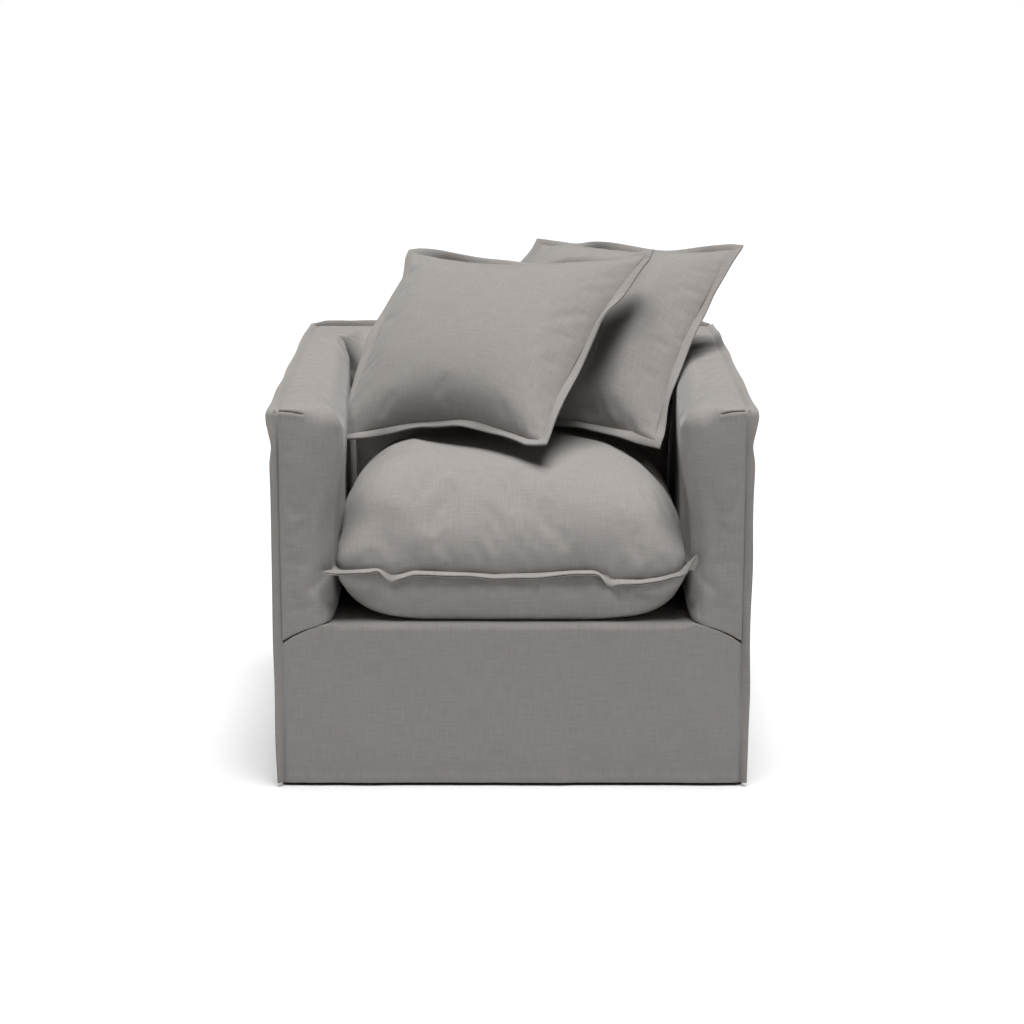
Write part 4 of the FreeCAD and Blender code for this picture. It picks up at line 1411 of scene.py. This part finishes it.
def zip_tape():
    """The zip's two tapes, one above the other, with the coil's groove between them."""
    middle = (ZIP_LOW.z + ZIP_HIGH.z) / 2

    def shape(u, v):
        x = ZIP_LOW.x + (ZIP_HIGH.x - ZIP_LOW.x) * u
        z = ZIP_LOW.z + (ZIP_HIGH.z - ZIP_LOW.z) * v
        lip = 0.0004 * peak(z - middle, 0.0018)
        y = ZIP_LOW.y + 0.0007 - lip + 0.00012 * wander(x, 95, ((0.05, 1.0),))
        return x, y, z

    obj = sheet_grid(150, 14, shape, lambda u, v: shape(u, v)[::2])
    apply_modifier(obj, "SOLIDIFY", thickness=0.0006, offset=0.0)
    clean(obj, 0.00002)
    shade(obj, 50)
    return obj


def zip_coil():
    """The zip's coil: moulded loops side by side. The real ones are 1.5 mm apart, drawn at 3."""
    middle = (ZIP_LOW.z + ZIP_HIGH.z) / 2
    bpy.ops.mesh.primitive_torus_add(
        major_segments=8, minor_segments=5, major_radius=0.0019, minor_radius=0.0006
    )
    loop = bpy.context.object
    p = points_of(loop)
    move_points(loop, np.stack([p[:, 2] + 0.25 * p[:, 0], p[:, 1] * 0.32, p[:, 0]], axis=1))
    places, pitch = [], 0.003
    for x in np.arange(ZIP_LOW.x + 2 * pitch, ZIP_HIGH.x - 0.004, pitch):
        m = np.eye(4)
        m[:3, 3] = (x, ZIP_LOW.y + 0.0012, middle)
        places.append(m)
    copies(loop, places)
    clean(loop, 0.00001)
    shade(loop)
    return loop


def zip_slider():
    """The slider's cast body with its bridge, and the pull hanging from it."""
    low, high = SLIDER_LOW, SLIDER_HIGH
    centre, width = (low.x + high.x) / 2, high.x - low.x
    middle = (ZIP_LOW.z + ZIP_HIGH.z) / 2
    bpy.ops.mesh.primitive_cube_add(size=1)
    body = bpy.context.object
    p = points_of(body)
    taper = np.where(p[:, 0] > 0, 1.0, 0.66)
    tall, thick = 0.0090, 0.0026
    p = np.stack(
        [
            centre + p[:, 0] * width,
            low.y + 0.0016 + p[:, 1] * thick,
            middle + p[:, 2] * tall * taper,
        ],
        axis=1,
    )
    move_points(body, p)
    apply_modifier(body, "BEVEL", width=0.0008, segments=3, limit_method="NONE")
    bpy.ops.mesh.primitive_torus_add(
        major_segments=24, minor_segments=8, major_radius=0.0028, minor_radius=0.0006
    )
    bridge = bpy.context.object
    q = points_of(bridge)
    q = np.stack([centre + q[:, 0], low.y + 0.0022 + q[:, 1] * 0.55, middle + q[:, 2]], axis=1)
    move_points(bridge, q)
    bpy.ops.mesh.primitive_cube_add(size=1)
    pull = bpy.context.object
    r = points_of(pull)
    narrow = np.where(r[:, 2] > 0, 0.7, 1.0)
    length = middle - low.z
    r = np.stack(
        [
            centre + r[:, 0] * 0.0050 * narrow,
            high.y - 0.0010 + r[:, 1] * 0.0012,
            low.z + length / 2 + 0.0002 + r[:, 2] * (length - 0.001),
        ],
        axis=1,
    )
    move_points(pull, r)
    apply_modifier(pull, "BEVEL", width=0.0004, segments=3, limit_method="NONE")
    bpy.ops.mesh.primitive_cylinder_add(vertices=20, radius=0.0012, depth=0.01)
    drill = bpy.context.object
    d = points_of(drill)
    d = np.stack([centre + d[:, 0], high.y - 0.001 + d[:, 2], middle - 0.0024 + d[:, 1]], axis=1)
    move_points(drill, d)
    clean(drill, 0.00001)
    apply_modifier(pull, "BOOLEAN", object=drill, operation="DIFFERENCE", solver="EXACT")
    only(drill)
    bpy.ops.object.delete()
    obj = joined([body, bridge, pull])
    clean(obj, 0.00001)
    shade(obj, 40)
    return obj


# ---------------------------------------------------------------- properties and operators


def metres(name, description, default):
    """A property in metres."""
    return FloatProperty(name=name, description=description, default=default, unit="LENGTH")


class ChairSizes(bpy.types.PropertyGroup):
    """Sizes of the soft pieces."""

    edge_radius: metres("Edge radius", "Rounding of the arms' padded edges", 0.034)
    back_radius: metres("Back radius", "Depth of the rounding along the padded back's top", 0.075)
    flange_width: metres(
        "Flange width",
        "How far the side seam's flange stands out",
        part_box("cover_flange_right")[1].x - SIDE,
    )
    hem_depth: metres("Hem depth", "Height of the doubled hem round the floor", 0.014)
    stitch_pitch: metres("Stitch pitch", "Distance from one stitch to the next", 0.0036)
    cushion_crown: metres(
        "Cushion crown", "Height of the seat cushion's crown over its seam", CUSHION_HIGH.z - SEAM
    )
    pillow_half: metres(
        "Pillow half width", "Half the pillow's side between its seams", PILLOW_REACH - 0.002
    )
    pillow_thickness: metres("Pillow thickness", "Thickness of a pillow at its middle", 0.160)


class ChairColours(bpy.types.PropertyGroup):
    """Colours of the cloth and the legs."""

    linen: FloatVectorProperty(
        name="Linen",
        description="Colour of the loose cover, cushion and pillows",
        default=linear("8C8885")[:3],
        subtype="COLOR",
        size=3,
        min=0.0,
        max=1.0,
    )
    leg_stain: FloatVectorProperty(
        name="Leg stain",
        description="Stain of the legs",
        default=linear("5A3B26")[:3],
        subtype="COLOR",
        size=3,
        min=0.0,
        max=1.0,
    )


def scene_sizes():
    return bpy.context.scene.chair_sizes


def hand_over(obj, name, body="chair", finish="linen", replaces=()):
    """Names a finished piece, gives it its finish and ties it to its body."""
    obj.name = name
    obj.data.name = name
    obj.data.materials.clear()
    obj.data.materials.append(finishes[finish])
    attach(obj, body)
    if replaces:
        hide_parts(*replaces)
    made_pieces[name] = obj
    return obj


class CHAIR_OT_finishes(bpy.types.Operator):
    """Makes every finish and gives the frame's own pieces theirs"""

    bl_idname = "chair.finishes"
    bl_label = "Finishes"

    def execute(self, context):
        finishes.update(make_finishes(context.scene.chair_colours))
        by_node = {
            "legs": "leg", "leg_glides": "glide", "corner_blocks": "beech_x",
            "seat_springs": "spring", "spring_clips": "spring", "leg_bolts": "zinc",
            "corner_screws": "zinc", "back_webbing": "webbing",
        }
        for name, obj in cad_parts.items():
            finish = by_node.get(name)
            if finish is None:
                if "board" in name or "panel" in name:
                    finish = "hardboard"
                else:
                    low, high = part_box(name)
                    size = high - low
                    finish = "beech_" + "xyz"[list(size).index(max(size))]
            for material_slot in obj.material_slots:
                material_slot.material = finishes[finish]
        return {"FINISHED"}


class CHAIR_OT_arms(bpy.types.Operator):
    """Builds both arms: foam, inside arm and arm front as one padded form each"""

    bl_idname = "chair.arms"
    bl_label = "Arms"

    def execute(self, context):
        for side, name, seed in ((1, "right", 11), (-1, "left", 16)):
            arm = hand_over(
                arm_form(side, seed),
                "arm_" + name,
                replaces=(
                    "arm_foam_" + name, "cover_inside_arm_" + name, "cover_arm_front_" + name
                ),
            )
        return {"FINISHED"}


class CHAIR_OT_inside_back(bpy.types.Operator):
    """Builds the padded inside back"""

    bl_idname = "chair.inside_back"
    bl_label = "Inside back"

    def execute(self, context):
        back = hand_over(back_form(), "inside_back", replaces=("back_foam", "cover_inside_back"))
        return {"FINISHED"}


class CHAIR_OT_cover_panels(bpy.types.Operator):
    """Builds the hanging panels of the loose cover and its deck"""

    bl_idname = "chair.cover_panels"
    bl_label = "Cover panels"

    def execute(self, context):
        front = hand_over(
            flat_sheet(apron(), CLOTH), "front_apron", replaces=("cover_front_apron",)
        )
        for side, name in ((1, "right"), (-1, "left")):
            panel = hand_over(
                flat_sheet(side_panel(side, name), CLOTH, turned=side > 0),
                "outside_arm_" + name,
                replaces=("cover_outside_arm_" + name,),
            )
        rear = hand_over(
            flat_sheet(rear_panel(), CLOTH), "outside_back", replaces=("cover_outside_back",)
        )
        deck = hand_over(flat_sheet(deck_panel(), CLOTH), "deck_cloth", replaces=("cover_deck",))
        return {"FINISHED"}


class CHAIR_OT_flanges(bpy.types.Operator):
    """Builds the flanges of the side seams and the back, and the hem's stitching"""

    bl_idname = "chair.flanges"
    bl_label = "Flanges and stitching"

    def execute(self, context):
        for side, name in ((1, "right"), (-1, "left")):
            hand_over(side_flange(side), "side_flange_" + name, replaces=("cover_flange_" + name,))
        hand_over(back_flange(), "top_flange", replaces=("cover_flange_back",))
        hand_over(hem_stitching(), "hem_stitching", finish="thread")
        return {"FINISHED"}


class CHAIR_OT_seat_cushion(bpy.types.Operator):
    """Builds the seat cushion and its flange"""

    bl_idname = "chair.seat_cushion"
    bl_label = "Seat cushion"

    def execute(self, context):
        cushion = hand_over(
            cushion_form(),
            "seat_cushion",
            body="seat_cushion",
            replaces=("seat_cushion_core", "seat_cushion_top", "seat_cushion_bottom"),
        )
        hand_over(
            cushion_flange(),
            "seat_flange",
            body="seat_cushion",
            replaces=("seat_cushion_flange",),
        )
        return {"FINISHED"}


class CHAIR_OT_zip(bpy.types.Operator):
    """Builds the zip at the back of the seat cushion"""

    bl_idname = "chair.zip"
    bl_label = "Cushion zip"

    def execute(self, context):
        hand_over(
            zip_tape(), "seat_zip_tape", "seat_cushion", "zip_tape", ("seat_cushion_zip",)
        )
        hand_over(zip_coil(), "seat_zip_coil", "seat_cushion", "zip_tape")
        hand_over(
            zip_slider(), "seat_zip_slider", "zip_slider", "nickel",
            ("seat_cushion_zip_slider",),
        )
        return {"FINISHED"}


class CHAIR_OT_pillows(bpy.types.Operator):
    """Builds both scatter pillows and props them in the chair's right corner"""

    bl_idname = "chair.pillows"
    bl_label = "Pillows"

    def execute(self, context):
        around = [made_pieces[n] for n in ("arm_right", "inside_back", "seat_cushion")]
        for name, place, seed in (
            ("right_pillow", RIGHT_PILLOW, 102), ("left_pillow", LEFT_PILLOW, 105),
        ):
            pillow, edge = pillow_form(seed, name), pillow_flange(seed, name)
            for piece in (pillow, edge):
                lay(piece, place)
                settle(piece, around, gap=0.0008)
            hand_over(
                pillow,
                name,
                body=name,
                replaces=tuple(name + part for part in ("_insert", "_front", "_back")),
            )
            hand_over(edge, name + "_flange", body=name)
            around.append(pillow)
        return {"FINISHED"}


class CHAIR_OT_inner_padding(bpy.types.Operator):
    """Builds the pads, dust cloth and closure tapes that the cover hides"""

    bl_idname = "chair.inner_padding"
    bl_label = "Inner padding"

    def execute(self, context):
        low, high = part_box("deck_pad")
        trim = Vector((0.0004, 0.0004, 0.0004))
        deck = hand_over(
            foam_pad(low + trim, high - trim, cell=0.013, radius=0.006, seed=111),
            "deck_felt", finish="foam", replaces=("deck_pad",),
        )
        low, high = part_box("front_edge_pad")
        rail_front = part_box("front_rail")[0].y
        roll_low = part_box("deck_pad")[0].z
        face = foam_pad(
            low + trim, Vector((high.x, rail_front, high.z)) - trim,
            cell=0.006, radius=0.003, seed=112,
        )
        # Its top corners lie lower and further back, behind the seam under each arm
        p = points_of(face)
        under = smooth((np.abs(p[:, 0]) - 0.284) / 0.016)
        room = apron_top(p[:, 0]) - 0.010
        p[:, 2] = np.where(under > 0, np.minimum(p[:, 2], room + (1 - under) * 0.02), p[:, 2])
        move_points(face, p)
        roll = foam_pad(
            Vector((-PANEL_INNER, rail_front, roll_low)) + trim,
            Vector((PANEL_INNER, high.y, high.z)) - trim,
            cell=0.010, radius=0.008, seed=113,
        )
        edge = hand_over(
            joined([face, roll]), "front_edge_roll", finish="foam",
            replaces=("front_edge_pad",),
        )
        dust = hand_over(
            dust_sheet(), "dust_cloth", finish="dust_cloth",
            replaces=("dust_cover",),
        )
        low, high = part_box("dust_cover")
        tapes = hand_over(
            closure_tapes(), "closure_tapes", finish="tape",
            replaces=("closure_tape",),
        )
        return {"FINISHED"}


class CHAIR_OT_stage(bpy.types.Operator):
    """Sets the pale floor, the soft lights and the camera"""

    bl_idname = "chair.stage"
    bl_label = "Stage"

    def execute(self, context):
        bpy.ops.mesh.primitive_plane_add(size=30, location=(0, 0, -0.0006))
        floor = bpy.context.object
        floor.name = "studio_floor"
        material, _, _ = surface(
            "matt_studio_floor",
            {"Base Color": linear("DCDCDC"), "Roughness": 0.9, "Specular IOR Level": 0.1},
        )
        floor.data.materials.append(material)
        scene = context.scene
        scene.view_settings.view_transform = "Standard"
        world = bpy.data.worlds.new("white_studio")
        world.use_nodes = True
        tree = world.node_tree
        background = tree.nodes["Background"]
        background.inputs["Color"].default_value = linear("FFFFFF")
        # White to look at, but a weaker light than the lamps
        seen = node(tree, "LightPath").outputs["Is Camera Ray"]
        strength = node(tree, "MapRange", {"To Min": 0.05, "To Max": 1.0}, {"Value": seen})
        tree.links.new(strength.outputs["Result"], background.inputs["Strength"])
        scene.world = world
        bpy.ops.object.light_add(type="SUN", location=(0.15, -0.30, 4.0))
        overhead = bpy.context.object
        overhead.name = "overhead_diffuser"
        overhead.data.energy = 5.1
        overhead.data.angle = math.radians(38)
        overhead.rotation_euler = Vector((-0.15, 0.30, -3.6)).to_track_quat("-Z", "Y").to_euler()
        bpy.ops.object.light_add(type="AREA", location=(1.6, -3.4, 1.6))
        fill = bpy.context.object
        fill.name = "front_fill"
        fill.data.size = 2.4
        fill.data.energy = 3.6
        fill.rotation_euler = Vector((-1.6, 3.4, -1.2)).to_track_quat("-Z", "Y").to_euler()
        bpy.ops.object.camera_add(
            location=(0.0, -3.990, 1.270), rotation=(math.radians(77.5), 0.0, 0.0)
        )
        camera = bpy.context.object
        camera.name = "studio_camera"
        camera.data.lens = 78.4
        camera.data.sensor_width = 36.0
        scene.camera = camera
        return {"FINISHED"}


STEPS = (
    CHAIR_OT_finishes,
    CHAIR_OT_stage,
    CHAIR_OT_arms,
    CHAIR_OT_inside_back,
    CHAIR_OT_inner_padding,
    CHAIR_OT_cover_panels,
    CHAIR_OT_flanges,
    CHAIR_OT_seat_cushion,
    CHAIR_OT_zip,
    CHAIR_OT_pillows,
)


class CHAIR_PT_panel(bpy.types.Panel):
    """Lists the chair's sizes, colours and steps"""

    bl_label = "Armchair"
    bl_idname = "CHAIR_PT_panel"
    bl_space_type = "VIEW_3D"
    bl_region_type = "UI"
    bl_category = "Armchair"

    def draw(self, context):
        for group in (context.scene.chair_sizes, context.scene.chair_colours):
            for name in group.__annotations__:
                self.layout.prop(group, name)
        for step in STEPS:
            self.layout.operator(step.bl_idname)


CLASSES = (ChairSizes, ChairColours, *STEPS, CHAIR_PT_panel)


def register():
    for cls in CLASSES:
        bpy.utils.register_class(cls)
    bpy.types.Scene.chair_sizes = PointerProperty(type=ChairSizes)
    bpy.types.Scene.chair_colours = PointerProperty(type=ChairColours)


def unregister():
    del bpy.types.Scene.chair_sizes
    del bpy.types.Scene.chair_colours
    for cls in reversed(CLASSES):
        bpy.utils.unregister_class(cls)


def main():
    register()
    for step in STEPS:
        group, name = step.bl_idname.split(".")
        getattr(getattr(bpy.ops, group), name)()


if __name__ == "__main__":
    main()
